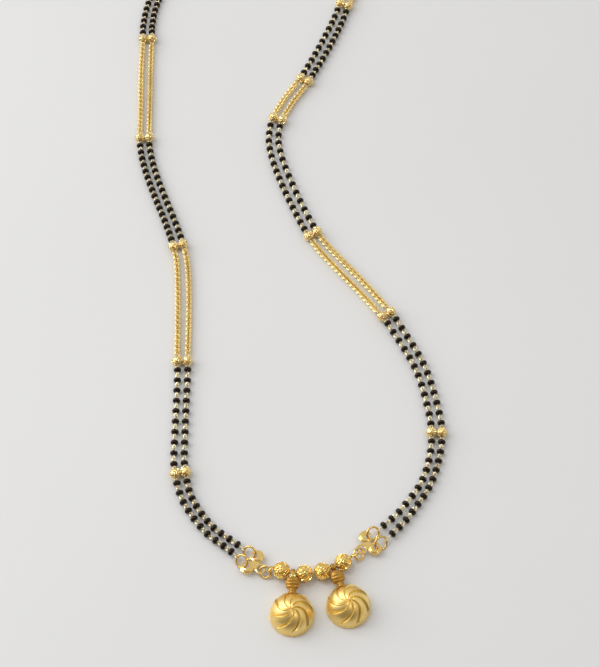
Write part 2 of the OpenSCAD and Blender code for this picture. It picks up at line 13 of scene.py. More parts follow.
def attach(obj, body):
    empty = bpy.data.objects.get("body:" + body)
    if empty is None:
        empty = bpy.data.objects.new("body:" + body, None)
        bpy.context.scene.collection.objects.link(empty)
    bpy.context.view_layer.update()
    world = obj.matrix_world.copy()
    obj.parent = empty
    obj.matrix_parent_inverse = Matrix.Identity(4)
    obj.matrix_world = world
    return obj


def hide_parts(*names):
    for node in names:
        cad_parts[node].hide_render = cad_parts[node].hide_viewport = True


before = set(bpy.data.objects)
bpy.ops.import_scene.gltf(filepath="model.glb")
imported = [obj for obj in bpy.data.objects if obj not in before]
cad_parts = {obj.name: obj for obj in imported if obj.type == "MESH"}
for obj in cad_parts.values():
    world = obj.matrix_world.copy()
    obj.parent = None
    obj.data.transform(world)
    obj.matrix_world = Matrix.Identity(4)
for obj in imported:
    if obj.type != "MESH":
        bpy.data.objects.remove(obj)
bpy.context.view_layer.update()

bl_info = {
    "name": "Mangalsutra",
    "version": (1, 0, 0),
    "blender": (4, 5, 0),
    "location": "View3D > Sidebar > Mangalsutra",
    "description": "Beads, chain, balls, domes and stage of a laid-out mangalsutra",
    "category": "Object",
}

MM = 0.001
SIDES = ("left", "right")
STRANDS = ("inner", "outer")

# Where the necklace lies, in mm, as in the part's source: the middle of the lay, the strands'
# routes leg by leg, the beads of each leg on the inner and outer strand, and the strands'
# distance at the start, half way and at the end of the leg
LAY_MID = (-6.05, 45.55)
ROUTES = {
    "left": (
        ((-21, -66), (-24.3, -63.5), (-27.1, -60.4), (-29.5, -57), (-31.5, -53.5), (-32.8, -49.6)),
        ((-33.5, -45.9), (-34.1, -42), (-34.2, -32.5), (-34.2, -23), (-34.2, -14)),
        ((-34.4, -10.1), (-34.7, 4), (-35.2, 16), (-36, 25)),
        ((-37.3, 30.3), (-38.4, 34), (-40.3, 39.5), (-42.5, 45.2), (-44.7, 51), (-46.7, 56.7),
         (-48.4, 62.5), (-49.5, 68)),
        ((-49.8, 71.6), (-50.3, 85), (-50.8, 99)),
        ((-51, 113), (-51.3, 117.5), (-51.1, 121.5), (-50.7, 125.5), (-49.8, 130), (-48.5, 135),
         (-47.2, 140)),
        ((-45.8, 146.5), (-43, 155), (-38, 163.5), (-31.5, 171), (-23, 177), (-16, 180.5)),
    ),
    "right": (
        ((28, -59.2), (31.1, -55.2), (34.1, -51), (36.3, -46.5), (37.8, -41.6), (38.7, -37)),
        ((38.9, -33.3), (38.8, -29.5), (38, -24), (36.9, -18.6), (35.5, -13.3), (33.4, -8.1),
         (30.9, -3.2), (28.1, 2)),
        ((25.8, 5.9), (19.5, 14.5), (13, 22.5), (7, 30)),
        ((4, 34.5), (2.3, 38), (-0.3, 44), (-2.8, 50.2), (-5.1, 56.6), (-7.1, 63), (-8.4, 69.7),
         (-8.2, 75)),
        ((-7.2, 79.3), (-3.5, 87.5)),
        ((1.6, 95.4), (2.9, 98.5), (4.9, 102.6), (6.9, 107), (8.8, 111.3), (10.6, 115.7),
         (12.4, 120.2), (13.9, 124.6)),
        ((15, 128.2), (18.3, 136.5), (20.6, 145.5), (21, 155), (18.8, 164), (14, 172), (8, 178)),
    ),
}
LEGS = {
    "left": ((10, 10, 0.9, 0.84, 1), (10, 10, 1, 0.95, 1), (0, 0, 1, 1.12, 1), (15, 16, 1, 0.97, 1),
             (0, 0, 1, 1, 1), (12, 12, 1, 1, 1), (0, 0, 1, 1, 0.7)),
    "right": ((11, 12, 1.15, 0.86, 1), (12, 12, 1, 0.95, 1), (0, 0, 1, 1.08, 1), (15, 13, 1, 1.05, 1),
              (0, 0, 1, 1.05, 1), (11, 12, 1, 1.05, 1), (0, 0, 1, 1, 0.7)),
}
STRINGS = ((0, 1), (3, 3), (5, 5))
CHAIN_LEGS = (2, 4, 6)
BAR_MID, BAR_DIR, BAR_R = (3.6, -75.8), 8, 20
HANG = {"left": -1, "right": 21}
HOOK_MID = (-3.5, 182)
# Directions from the bar's ends to their eyes, the connectors' middles and directions of pull, and
# the link rings' tilts
EYE_DIR = {"left": 238, "right": 20}
PLATE_MID = {"left": (-13, -72.5), "right": (19.2, -66.95)}
PLATE_DIR = {"left": 140, "right": 37}
LINK_TILT = {"left": -35, "right": 38}
# Gap between pieces that meet, tilts of the rings at the clasp and at the strands, and the length
# over which a strand rises to a ball
GAP, RING_TILT, STRAND_TILT, RISE_LEN = 0.2, 50, 43, 7
# Height of a resting ball's middle and half its length along the hole, as shares of its radius
BALL_FLAT, BALL_HALF = 0.94, 0.93
# Eyes of the part's source, which set the places of beads and rings: wire and width between the
# beads, wire at the clasp, play of a strand's eye on its ring
PART_WIRE, PART_EYE_W, PART_END_WIRE, EYE_PLAY = 0.45, 1.1, 0.65, 0.15
# Metal between a lobe's hole and its edge, and the holes' distance as a share of the lobes'
LOBE_RIM, HOLE_SHARE = 0.35, 0.86
# Spread of the two chains' eyes on a clasp ring, and steps from point to point of a route
EYE_SPREAD, ROUTE_STEPS = 28, 6
# Length of the eye at the end of a string, and how far it reaches into the ball or bead
LAST_EYE, SINK = 0.95, 0.02
# Roll of the chain links as they lie, and how far it sways along a chain
LINK_ROLL, LINK_SWAY = 45, 7
# Height of the barrel's ribs, and thickness of the loop that a pendant hangs by
RIB_H, LOOP_T = 0.15, 0.5

# Roughness from and to, grain and clouding of the plain golds
GOLDS = {
    "cut_gold": ((0.06, 0.14), 0.03, 0.08),
    "spacer_gold": ((0.12, 0.2), 0.03, 0.08),
    # The pendants' bails get a gold darkened to brown: painted shade.
    "brown_gold": ((0.34, 0.46), 0.06, 0.14),
    "polished_gold": ((0.1, 0.22), 0.04, 0.1),
    "chain_gold": ((0.36, 0.48), 0.04, 0.1),
    "pale_gold": ((0.34, 0.46), 0.04, 0.1),
}


# Settings

def length(name, text, mm):
    return bpy.props.FloatProperty(name=name, description=text, default=mm * MM, min=0,
                                   unit="LENGTH", precision=5)


def count(name, text, default, least):
    return bpy.props.IntProperty(name=name, description=text, default=default, min=least)


def angle(name, text, degrees):
    return bpy.props.FloatProperty(name=name, description=text, default=math.radians(degrees),
                                   subtype="ANGLE")


def power(name, text, watts):
    return bpy.props.FloatProperty(name=name, description=text, default=watts, unit="POWER")


def tone(name, text, rgb):
    return bpy.props.FloatVectorProperty(name=name, description=text, default=rgb, size=3, min=0,
                                         max=1, subtype="COLOR")


class BeadSettings(bpy.types.PropertyGroup):
    bead_d: length("Bead", "Diameter of a black bead", 2.25)
    bead_len: length("Bead length", "Length of a bead along its pin", 1.2)
    bore: length("Bore", "Hole through a bead", 0.8)
    bead_sides: count("Sides", "Sides round a bead", 12, 8)
    pin_wire: length("Pin", "Wire through a bead", 0.36)
    eye_wire: length("Eye wire", "Wire of the small eyes between beads", 0.38)
    eye_w: length("Eye width", "Width of the small eyes between beads", 1.4)


class StrandSettings(bpy.types.PropertyGroup):
    strand_gap: length("Strand distance", "Distance of the two strands at a spacer", 3)
    link_d: length("Link", "Outer diameter of a chain link", 2.2)
    link_wire: length("Link wire", "Wire of a chain link", 0.55)
    link_pitch: length("Link pitch", "Distance from link to link", 0.84)
    spacer_d: length("Spacer ball", "Ball of a spacer pair", 3.1)
    spacer_bore: length("Spacer bore", "Hole through a spacer ball", 1)
    solder_d: length("Solder", "Solder between the two balls of a pair", 1.3)


class BarSettings(bpy.types.PropertyGroup):
    ball_d: length("Ball", "Cut ball on the bar", 4.7)
    ball_bore: length("Ball bore", "Hole through a ball on the bar", 1.3)
    bar_wire: length("Bar wire", "Wire of the bar", 0.7)
    bar_eye_d: length("Bar eye", "Inner diameter of the bar's end eyes", 1)
    loop_w: length("Pendant loop", "Width of a pendant's loop round the bar", 1.1)


class RingSettings(bpy.types.PropertyGroup):
    ring_wire: length("Ring wire", "Wire of the round rings", 0.55)
    drawn_wire: length("Drawn wire", "Wire of the round rings as it shows", 0.62)
    strand_ring_d: length("Strand ring", "Outer diameter of a ring that carries a strand", 4.1)
    link_ring_d: length("Link ring", "Outer diameter of the ring at the bar", 3.7)
    lobe_d: length("Lobe", "Diameter of a connector's lobe", 3.6)
    lobe_gap: length("Lobe distance", "Distance of a connector's lobes", 4.2)
    lobe_hole_d: length("Lobe hole", "Hole in a lobe", 1.8)
    stem_d: length("Stem", "Width of a connector's stem", 2.9)
    stem_reach: length("Stem reach", "From the line of the lobes to the stem's hole", 3)
    stem_hole_d: length("Stem hole", "Hole in a connector's stem", 2)
    plate_t: length("Plate", "Thickness of a connector", 0.5)
    cap_h: length("Swelling", "Height of the round swelling on a lobe", 0.25)
    end_ring_d: length("End ring", "Outer diameter of a ring at the clasp", 5)
    end_wire: length("End ring wire", "Wire of a ring at the clasp", 0.7)
    hook_wire: length("Hook wire", "Wire of the clasp's hook", 0.9)
    bow_d: length("Hook bow", "Mean width of a bow of the hook", 3.2)


class PendantSettings(bpy.types.PropertyGroup):
    dome_d: length("Dome", "Width of a dome at its rim", 12)
    dome_h: length("Dome height", "Height of a dome", 5.5)
    dome_wall: length("Dome wall", "Wall of a dome", 0.6)
    rim_h: length("Rim", "Height of the plain rim", 0.6)
    flute_depth: length("Flute depth", "Depth of a flute", 0.45)
    flute_turn: angle("Flute turn", "Turn of a flute from top to rim", 90)
    flutes: count("Flutes", "Flutes on a dome", 8, 4)
    barrel_len: length("Barrel length", "Length of the ribbed barrel", 3.6)
    barrel_d: length("Barrel", "Diameter of the ribbed barrel", 3.6)
    ribs: count("Ribs", "Ribs round the barrel", 10, 6)
    barrel_lift: length("Barrel height", "Height of the barrel above the surface", 0.9)
    neck_d: length("Neck", "Neck between barrel and dome", 2)


class ToneSettings(bpy.types.PropertyGroup):
    cut_gold: tone("Cut gold", "Diamond-cut balls of the bar", (0.98, 0.72, 0.25))
    spacer_gold: tone("Spacer gold", "Diamond-cut balls of the spacers", (0.98, 0.79, 0.4))
    satin_gold: tone("Satin gold", "Domes", (1, 0.75, 0.28))
    # The barrels', necks' and loops' gold is darkened to brown: painted shade.
    brown_gold: tone("Brown gold", "Barrels, necks and loops of the pendants", (0.54, 0.3, 0.065))
    polished_gold: tone("Polished gold", "Rings, plates and bar", (0.9, 0.63, 0.21))
    chain_gold: tone("Chain gold", "Chain links", (0.98, 0.78, 0.35))
    pale_gold: tone("Pale gold", "Eye pins", (1, 0.9, 0.62))
    black_glass: tone("Black glass", "Beads", (0.006, 0.003, 0.0015))
    floor: tone("Floor", "Surface below", (0.79, 0.795, 0.8))


class StageSettings(bpy.types.PropertyGroup):
    floor_w: length("Floor", "Width of the floor", 20000)
    key_power: power("Key light", "Power of the key light", 7.2)
    small_power: power("Small lights", "Power of the small lights", 0.8)
    tilt: angle("Tilt", "Camera's tilt from straight down", 30)
    distance: length("Distance", "Camera's distance", 435.77)


class NecklaceSettings(bpy.types.PropertyGroup):
    beads: bpy.props.PointerProperty(type=BeadSettings)
    strands: bpy.props.PointerProperty(type=StrandSettings)
    bar: bpy.props.PointerProperty(type=BarSettings)
    rings: bpy.props.PointerProperty(type=RingSettings)
    pendants: bpy.props.PointerProperty(type=PendantSettings)
    tones: bpy.props.PointerProperty(type=ToneSettings)
    stage: bpy.props.PointerProperty(type=StageSettings)


def settings():
    return bpy.context.scene.mangalsutra


# The lay of the necklace, in mm

def unit(v):
    return v / np.linalg.norm(v)


def turned(v, degrees):
    c, s = math.cos(math.radians(degrees)), math.sin(math.radians(degrees))
    return np.array((v[0] * c - v[1] * s, v[0] * s + v[1] * c))


def heading(v):
    return math.degrees(math.atan2(v[1], v[0]))


def lift(p, z):
    return np.array((p[0], p[1], z))


def mix(a, b, t):
    return a + (b - a) * t


def running(points):
    """Running length at each point of a line."""
    return np.concatenate(([0], np.cumsum(np.linalg.norm(np.diff(points, axis=0), axis=1))))


def rise(d):
    """How much of a ball's height a strand has at a distance from the ball."""
    return 0 if d >= RISE_LEN else math.cos(math.pi / 2 * d / RISE_LEN) ** 2


def about(axis, degrees):
    return Matrix.Rotation(math.radians(degrees), 4, axis)


def along(p, direction, tilt=0, dip=0):
    """Lays what is drawn along X at a point, in a direction, dipped and tilted about it."""
    return Matrix.Translation(Vector(p)) @ about("Z", direction) @ about("Y", dip) @ about("X", tilt)


def facing(p, ahead, roll=0.0):
    """A place whose X runs ahead and whose Z is up, rolled about X."""
    x = Vector(ahead).normalized()
    y = Vector((0, 0, 1)).cross(x).normalized()
    z = x.cross(y)
    m = Matrix((x, y, z)).transposed().to_4x4()
    m.translation = Vector(p)
    return m @ about("X", roll)


class Lay:
    """The measures that the pieces share: lengths in mm, counts and angles as they are set."""

    def __init__(self):
        s = settings()
        for group in (s.beads, s.strands, s.bar, s.rings, s.pendants):
            for key in type(group).__annotations__:
                value = getattr(group, key)
                is_length = group.bl_rna.properties[key].unit == "LENGTH"
                setattr(self, key, round(value / MM, 5) if is_length else value)
        self.mid = np.array(LAY_MID)
        self.spacer_z = BALL_FLAT * self.spacer_d / 2
        self.spacer_half = BALL_HALF * self.spacer_d / 2
        self.link_r = (self.link_d - self.link_wire) / 2
        link_rise = math.sin(math.radians(LINK_ROLL + LINK_SWAY))
        self.chain_z = self.link_r * link_rise + self.link_wire / 2
        pitch = self.ball_d + GAP
        loop_pitch = pitch + self.loop_w + GAP
        self.ball_at = (-pitch / 2 - loop_pitch, -pitch / 2, pitch / 2, pitch / 2 + loop_pitch)
        self.loop_at = {"left": self.ball_at[1] - loop_pitch / 2,
                        "right": self.ball_at[2] + loop_pitch / 2}
        self.bar_eye_r = (self.bar_eye_d + self.bar_wire) / 2
        self.bar_end = self.ball_at[3] + self.ball_d / 2 + GAP + self.bar_wire / 2
        self.bar_z = BALL_FLAT * self.ball_d / 2
        self.bar_centre = np.array(BAR_MID) - self.mid + BAR_R * turned((0, 1), BAR_DIR)
        self.loop_r = self.bar_wire / 2 + GAP
        self.link_ring_r = (self.link_ring_d - self.ring_wire) / 2
        self.strand_ring_r = (self.strand_ring_d - self.ring_wire) / 2
        self.end_r = (self.end_ring_d - self.end_wire) / 2
        self.hang_r = (self.ring_wire + PART_WIRE) / 2 + EYE_PLAY
        self.hole_reach = self.lobe_d / 2 - self.lobe_hole_d / 2 - LOBE_RIM
        self.hole_gap = self.lobe_gap * HOLE_SHARE
        self.plate_z = self.strand_ring_r * math.sin(math.radians(STRAND_TILT)) + self.ring_wire / 2
        self.hook_r = self.bow_d / 2
        self.ring_from_hook = self.bow_d - self.hook_wire / 2 - self.end_wire / 2 - GAP
        self.end_z = self.end_r * math.sin(math.radians(RING_TILT)) + self.end_wire / 2
        self.lines = {side: self.line(side) for side in SIDES}
        self.stops = {side: self.stops_of(side) for side in SIDES}

    def outward(self, side):
        return -1 if side == "left" else 1

    def inner_turn(self, side):
        return 90 * self.outward(side)

    def bar_angle(self, s):
        return BAR_DIR + math.degrees(s / BAR_R)

    def bar_point(self, s):
        return self.bar_centre + BAR_R * turned((0, -1), self.bar_angle(s))

    def bar_eye(self, side):
        end = self.bar_point(self.outward(side) * self.bar_end)
        return end + self.bar_eye_r * turned((1, 0), EYE_DIR[side])

    def stem_hole(self, side):
        return lift(self.along_pull(side, -self.stem_reach), self.plate_z)

    def link_span(self, side):
        """From the middle of the bar's eye to the hole in the connector's stem."""
        return self.stem_hole(side) - lift(self.bar_eye(side), self.bar_z)

    def link_hang(self, side):
        half = np.linalg.norm(self.link_span(side)) / 2
        return -self.outward(side) * math.sqrt(self.link_ring_r ** 2 - half ** 2)

    def link_place(self, side):
        span = self.link_span(side)
        dip = -math.degrees(math.asin(unit(span)[2]))
        return (along(self.stem_hole(side) - span / 2, heading(span), LINK_TILT[side], dip)
                @ Matrix.Translation((0, self.link_hang(side), 0)))

    def eye_tilt(self, side):
        """Tilt of the bar's eye that stands it across the link ring's wire."""
        span, t = self.link_span(side), math.radians(LINK_TILT[side])
        ahead = unit(span)
        flat = lift(turned((0, 1), heading(ahead)), 0)
        up = np.cross(ahead, flat)
        half = np.linalg.norm(span) / 2
        way = self.link_hang(side) * ahead - half * (math.cos(t) * flat + math.sin(t) * up)
        return math.degrees(math.atan2(-turned(way, -EYE_DIR[side])[1], way[2]))

    def along_pull(self, side, reach, across=0.0):
        pull = turned((1, 0), PLATE_DIR[side])
        middle = np.array(PLATE_MID[side]) - self.mid
        return middle + reach * pull + across * turned(pull, self.inner_turn(side))

    def from_hook(self, side, reach):
        return np.array(HOOK_MID) - self.mid + np.array((self.outward(side) * reach, 0))

    def line(self, side):
        """The smooth middle line of a side with its running length."""
        flat = [np.array(p) - self.mid for row in ROUTES[side] for p in row]
        start = self.hole_reach + 2 * self.strand_ring_r + self.hang_r + PART_WIRE / 2
        end = self.ring_from_hook + 2 * self.end_r + (self.end_wire + PART_END_WIRE) / 2 + GAP
        p = [self.along_pull(side, start)] + flat + [self.from_hook(side, end)]
        n, q = len(p), []
        for i in range(n - 1):
            a, b, c, d = p[max(i - 1, 0)], p[i], p[i + 1], p[min(i + 2, n - 1)]
            for j in range(ROUTE_STEPS):
                t = j / ROUTE_STEPS
                q.append(0.5 * (2 * b + (c - a) * t + (2 * a - 5 * b + 4 * c - d) * t * t
                                + (3 * b - a - 3 * c + d) * t ** 3))
        q = np.array(q + [p[-1]])
        return running(q), q

    def stops_of(self, side):
        """Running lengths of the spacers, between the start and the end of a side."""
        run = self.lines[side][0]
        before = np.cumsum([1] + [len(row) for row in ROUTES[side]])
        return [0.0] + [float(run[i * ROUTE_STEPS]) for i in before[1:-1]] + [float(run[-1])]

    def on_line(self, side, s):
        run, q = self.lines[side]
        return np.array((np.interp(s, run, q[:, 0]), np.interp(s, run, q[:, 1])))

    def ahead(self, side, s):
        return unit(self.on_line(side, s + 1) - self.on_line(side, s - 1))

    def stop_z(self, i):
        if i == 0:
            return self.plate_z
        return self.end_z if i == len(ROUTES["left"]) else self.spacer_z

    def strand_point(self, side, leg, strand, s, rest_z):
        """A point of a strand, 0 the inner and 1 the outer one, at a running length."""
        start, end = self.stops[side][leg:leg + 2]
        first, middle, last = LEGS[side][leg][2:]
        t = (s - start) / (end - start)
        half = self.strand_gap / 2 * (mix(first, last, t)
                                      + (middle - mix(first, last, 0.5)) * math.sin(math.pi * t))
        z = (rest_z + (self.stop_z(leg) - rest_z) * rise(s - start)
             + (self.stop_z(leg + 1) - rest_z) * rise(end - s))
        inward = turned(self.ahead(side, s), self.inner_turn(side))
        return lift(self.on_line(side, s) + (1 if strand == 0 else -1) * half * inward, z)

    def bead_point(self, side, leg, strand, s):
        return self.strand_point(side, leg, strand, s, self.bead_d / 2)

    def bead_run(self, side, leg, strand):
        """Running lengths of a leg's beads."""
        lead = self.spacer_d / 2 + PART_EYE_W * 0.7 + self.bead_len / 2
        a = self.stops[side][leg] + lead - (self.spacer_d / 2 if leg == 0 else 0)
        b = self.stops[side][leg + 1] - lead
        return list(np.linspace(a, b, LEGS[side][leg][strand]))

    def across_ring(self, side):
        return self.outward(side) * (STRAND_TILT - 90)

    def lobe_hole(self, side, strand):
        return self.along_pull(side, self.hole_reach, (1 if strand == 0 else -1) * self.hole_gap / 2)

    def strand_ring_ends(self, side, strand):
        """Where a strand's ring passes the plate, and where the strand's eye hangs on it."""
        tip = self.bead_point(side, 0, strand, 0)
        hole = lift(self.lobe_hole(side, strand), self.plate_z)
        way = unit(np.array((tip[0] - hole[0], tip[1] - hole[1], 0)))
        return hole, hole + 2 * self.strand_ring_r * way

    def end_ring_place(self, side):
        middle = self.from_hook(side, self.ring_from_hook + self.end_r)
        return along(lift(middle, self.end_z), 0, RING_TILT)

    def end_eye_place(self, side, strand):
        """On a clasp ring's wire, with X away from the ring's middle."""
        a = (-1 if strand == 0 else 1) * EYE_SPREAD
        turn = 180 - a if side == "left" else a
        return self.end_ring_place(side) @ about("Z", turn) @ Matrix.Translation((self.end_r, 0, 0))


# Hand tools

def pick(*objects):
    """Selects these objects alone, the first of them active."""
    if bpy.context.object and bpy.context.object.mode != "OBJECT":
        bpy.ops.object.mode_set(mode="OBJECT")
    bpy.ops.object.select_all(action="DESELECT")
    for o in objects:
        o.select_set(True)
    if objects:
        bpy.context.view_layer.objects.active = objects[0]


def drop(*objects):
    for o in objects:
        bpy.data.objects.remove(o)


def started(add, **sizes):
    """A primitive, its place and turn taken into its mesh."""
    pick()
    add(**sizes)
    bpy.ops.object.transform_apply(location=True, rotation=True, scale=True)
    return bpy.context.object


def drum(sides, radius, depth, axis="Z", at=(0, 0, 0)):
    """A cylinder along an axis, its middle at a point."""
    turn = {"X": (0, math.pi / 2, 0), "Y": (math.pi / 2, 0, 0), "Z": (0, 0, 0)}[axis]
    return started(bpy.ops.mesh.primitive_cylinder_add, vertices=sides, radius=radius, depth=depth,
                   location=at, rotation=turn)


def edit(obj, kind="VERT", action="DESELECT"):
    """Opens an object for editing, with nothing or all of it selected."""
    pick(obj)
    bpy.ops.object.mode_set(mode="EDIT")
    bpy.ops.mesh.select_mode(type=kind)
    bpy.ops.mesh.select_all(action=action)
    return bmesh.from_edit_mesh(obj.data)


def close_edit(obj, outward=False):
    if outward:
        bpy.ops.mesh.select_all(action="SELECT")
        bpy.ops.mesh.normals_make_consistent(inside=False)
    bpy.ops.object.mode_set(mode="OBJECT")
    return obj


def choose_faces(obj, test):
    mesh = bmesh.from_edit_mesh(obj.data)
    for f in mesh.faces:
        f.select = test(f)
    mesh.select_flush_mode()
    bmesh.update_edit_mesh(obj.data)


def cut_across(obj, axis, longer, cuts):
    """Divides the edges that run further than a length along an axis into equal parts."""
    mesh = edit(obj, "EDGE")
    for e in mesh.edges:
        e.select = abs(e.verts[0].co[axis] - e.verts[1].co[axis]) > longer
    bmesh.update_edit_mesh(obj.data)
    bpy.ops.mesh.subdivide(number_cuts=cuts)
    return close_edit(obj)


def opened(obj, axis, wall):
    """Opens a drum from end to end along an axis and leaves a wall round the hole."""
    edit(obj, "FACE")
    choose_faces(obj, lambda f: abs(f.normal[axis]) > 0.9)
    bpy.ops.mesh.inset(thickness=wall, depth=0)
    bpy.ops.mesh.bridge_edge_loops()
    return close_edit(obj, outward=True)


def modified(obj, kind, **values):
    """Gives an object a modifier and applies it."""
    pick(obj)
    m = obj.modifiers.new(kind.title(), kind)
    for k, v in values.items():
        setattr(m, k, v)
    bpy.ops.object.modifier_apply(modifier=m.name)
    return obj


def bevelled(obj, width, segments, degrees):
    """Rounds the edges that are sharper than an angle."""
    return modified(obj, "BEVEL", width=width, segments=segments, limit_method="ANGLE",
                    angle_limit=math.radians(degrees))


def fuse(obj, other, operation="UNION"):
    modified(obj, "BOOLEAN", operation=operation, object=other, solver="EXACT")
    drop(other)
    return obj


def placed(master, place):
    """A copy of a master with its own mesh, brought to its place."""
    copy = master.copy()
    copy.data = master.data.copy()
    copy.data.transform(place)
    copy.matrix_world = Matrix.Identity(4)
    bpy.context.scene.collection.objects.link(copy)
    return copy


def joined(parts):
    pick(*parts)
    bpy.ops.object.join()
    return parts[0]


def settle(obj, name, finish, node=None, smooth=None):
    """Names a finished piece, brings it to metres at the origin and puts it on the frame."""
    pick(obj)
    if smooth is None:
        bpy.ops.object.shade_flat()
    else:
        bpy.ops.object.shade_smooth_by_angle(angle=math.radians(smooth))
    obj.name = obj.data.name = name
    obj.data.transform(Matrix.Scale(MM, 4))
    obj.data.materials.clear()
    obj.data.materials.append(finish_of(finish))
    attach(obj, "root")
    if node:
        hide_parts(node)
    pick()


# Materials

class Nodes:
    """Short hand for the node tree of a material or a world, around its one shader."""

    def __init__(self, owner, shader="Principled BSDF", where="Object"):
        owner.use_nodes = True
        self.tree = owner.node_tree
        self.shader = self.tree.nodes[shader]
        self.where = self.add("ShaderNodeTexCoord").outputs[where]

    def add(self, kind, **values):
        node = self.tree.nodes.new(kind)
        for k, v in values.items():
            setattr(node, k, v)
        return node

    def feed(self, socket, value):
        """Links an output to a socket, or sets a constant on it."""
        if hasattr(value, "is_linked"):
            self.tree.links.new(value, socket)
        else:
            socket.default_value = value

    def to(self, name, value):
        self.feed(self.shader.inputs[name], value)

    def fed(self, node, **values):
        """Feeds a node's inputs, called by their names with a stroke for each space."""
        for name, value in values.items():
            self.feed(node.inputs[name.replace("_", " ")], value)
        return node

    def noise(self, scale, detail=3.0, rough=0.55, stretch=None):
        source = self.where
        if stretch:
            mapping = self.fed(self.add("ShaderNodeMapping"), Scale=stretch, Vector=source)
            source = mapping.outputs["Vector"]
        node = self.add("ShaderNodeTexNoise")
        self.fed(node, Scale=scale, Detail=detail, Roughness=rough, Vector=source)
        return node.outputs["Fac"]

    def ramp(self, fac, stops):
        node = self.fed(self.add("ShaderNodeValToRGB"), Fac=fac)
        marks = node.color_ramp.elements
        while len(marks) < len(stops):
            marks.new(0.5)
        for mark, (at, rgb) in zip(marks, stops):
            mark.position = at
            mark.color = (*rgb, 1)
        return node.outputs["Color"]

    def spread(self, fac, low, high, to_low, to_high):
        node = self.add("ShaderNodeMapRange")
        self.fed(node, Value=fac, From_Min=low, From_Max=high, To_Min=to_low, To_Max=to_high)
        return node.outputs["Result"]

    def blend(self, fac, a, b, kind="FLOAT"):
        node = self.fed(self.add("ShaderNodeMix", data_type=kind), Factor=fac)
        first, second, result = {"FLOAT": (2, 3, 0), "RGBA": (6, 7, 2)}[kind]
        self.feed(node.inputs[first], a)
        self.feed(node.inputs[second], b)
        return node.outputs[result]

    def bump(self, height, strength, distance):
        node = self.add("ShaderNodeBump")
        self.fed(node, Strength=strength, Distance=distance, Height=height)
        self.to("Normal", node.outputs["Normal"])


def shade(rgb, k, warm=0.0):
    return (min(rgb[0] * k, 1), min(rgb[1] * k * (1 - warm), 1), min(rgb[2] * k * (1 - 2 * warm), 1))


def gold(n, rgb, rough, grain, clouding):
    """Gold with clouded colour, fine handling marks and a slightly uneven roughness."""
    n.to("Base Color", n.ramp(n.noise(350, 4), ((0.3, shade(rgb, 1 - clouding, 0.06)), (0.55, tuple(rgb)),
                                                (0.8, shade(rgb, 1 + clouding * 0.5, -0.02)))))
    n.to("Metallic", 1.0)
    marks = n.noise(2600, 5, 0.7, (1, 3, 1))
    n.to("Roughness", n.spread(marks, 0.35, 0.7, *rough))
    n.bump(marks, grain, 0.00002)


def satin_gold(n, rgb):
    """Frosted gold of the domes: matt fields, with the crests and the cut lines polished and painted paler
    and lighter as a painted highlight.
    """
    polish = n.add("ShaderNodeAttribute", attribute_name="polish").outputs["Fac"]
    field = n.ramp(n.noise(260, 4), ((0.3, shade(rgb, 0.9, 0.05)), (0.6, tuple(rgb)),
                                     (0.85, shade(rgb, 1.06, -0.02))))
    # The crests' colour is painted paler and lighter than the field: a painted highlight, beside their
    # real polish in the roughness.
    n.to("Base Color", n.blend(polish, field, (*shade(rgb, 1.08, -0.04), 1), "RGBA"))
    n.to("Metallic", 1.0)
    frost = n.noise(9000, 2, 0.6)
    n.to("Roughness", n.blend(polish, n.spread(frost, 0.3, 0.7, 0.34, 0.46), 0.16))
    n.bump(frost, 0.12, 0.00003)


def black_glass(n, rgb):
    """Glossy black glass with a faint smear on some of it, and its reflections tinted warm as a painted
    reflection of the gold beside it.
    """
    n.to("Base Color", n.ramp(n.noise(500, 3), ((0.35, tuple(rgb)), (0.8, shade(rgb, 2.2)))))
    n.to("Roughness", n.spread(n.noise(900, 4), 0.35, 0.75, 0.04, 0.12))
    n.to("IOR", 1.5)
    n.to("Specular IOR Level", 0.3)
    # Warm tint on the glass's reflections: a painted reflection of the neighbouring gold.
    n.to("Specular Tint", (1, 0.82, 0.64, 1))
    n.bump(n.noise(1500, 2), 0.05, 0.00003)


def floor(n, rgb):
    """A pale matt surface."""
    n.to("Base Color", n.ramp(n.noise(6, 3), ((0.3, shade(rgb, 0.985)), (0.7, shade(rgb, 1.01)))))
    n.to("Roughness", n.spread(n.noise(300, 3), 0.3, 0.7, 0.5, 0.6))
    n.bump(n.noise(1200, 3), 0.02, 0.0001)


def finish_of(key):
    """The material of a finish, made once."""
    name = "mangalsutra_" + key
    if name not in bpy.data.materials:
        n, rgb = Nodes(bpy.data.materials.new(name)), getattr(settings().tones, key)
        if key in GOLDS:
            gold(n, rgb, *GOLDS[key])
        else:
            {"satin_gold": satin_gold, "black_glass": black_glass, "floor": floor}[key](n, rgb)
    return bpy.data.materials[name]


# Masters, each drawn once at the middle with its hole or its line along X

def bead_master(lay):
    """A glass rondelle: a drum whose shoulders are rounded, drilled from end to end."""
    shoulder_w = 0.48
    bead = drum(lay.bead_sides, lay.bead_d / 2, lay.bead_len, "X")

    def is_end(f):
        return abs(f.normal.x) > 0.9

    edit(bead, "FACE")
    choose_faces(bead, is_end)
    bpy.ops.mesh.region_to_loop()
    bpy.ops.mesh.bevel(offset=shoulder_w, segments=2, profile=0.5)
    bpy.ops.mesh.select_mode(type="FACE")
    choose_faces(bead, lambda f: is_end(f) and abs(f.calc_center_median().x) > lay.bead_len / 2 - 0.01)
    wall = lay.bead_d / 2 - shoulder_w - lay.bore / 2
    bpy.ops.mesh.inset(thickness=wall * math.cos(math.pi / lay.bead_sides), depth=0)
    bpy.ops.mesh.bridge_edge_loops()
    return close_edit(bead, outward=True)


def ring_master(mean_r, wire, steps=12, sides=5):
    """A small round link or eye in the X-Y plane."""
    return started(bpy.ops.mesh.primitive_torus_add, major_segments=steps, minor_segments=sides,
                   major_radius=mean_r, minor_radius=wire / 2)


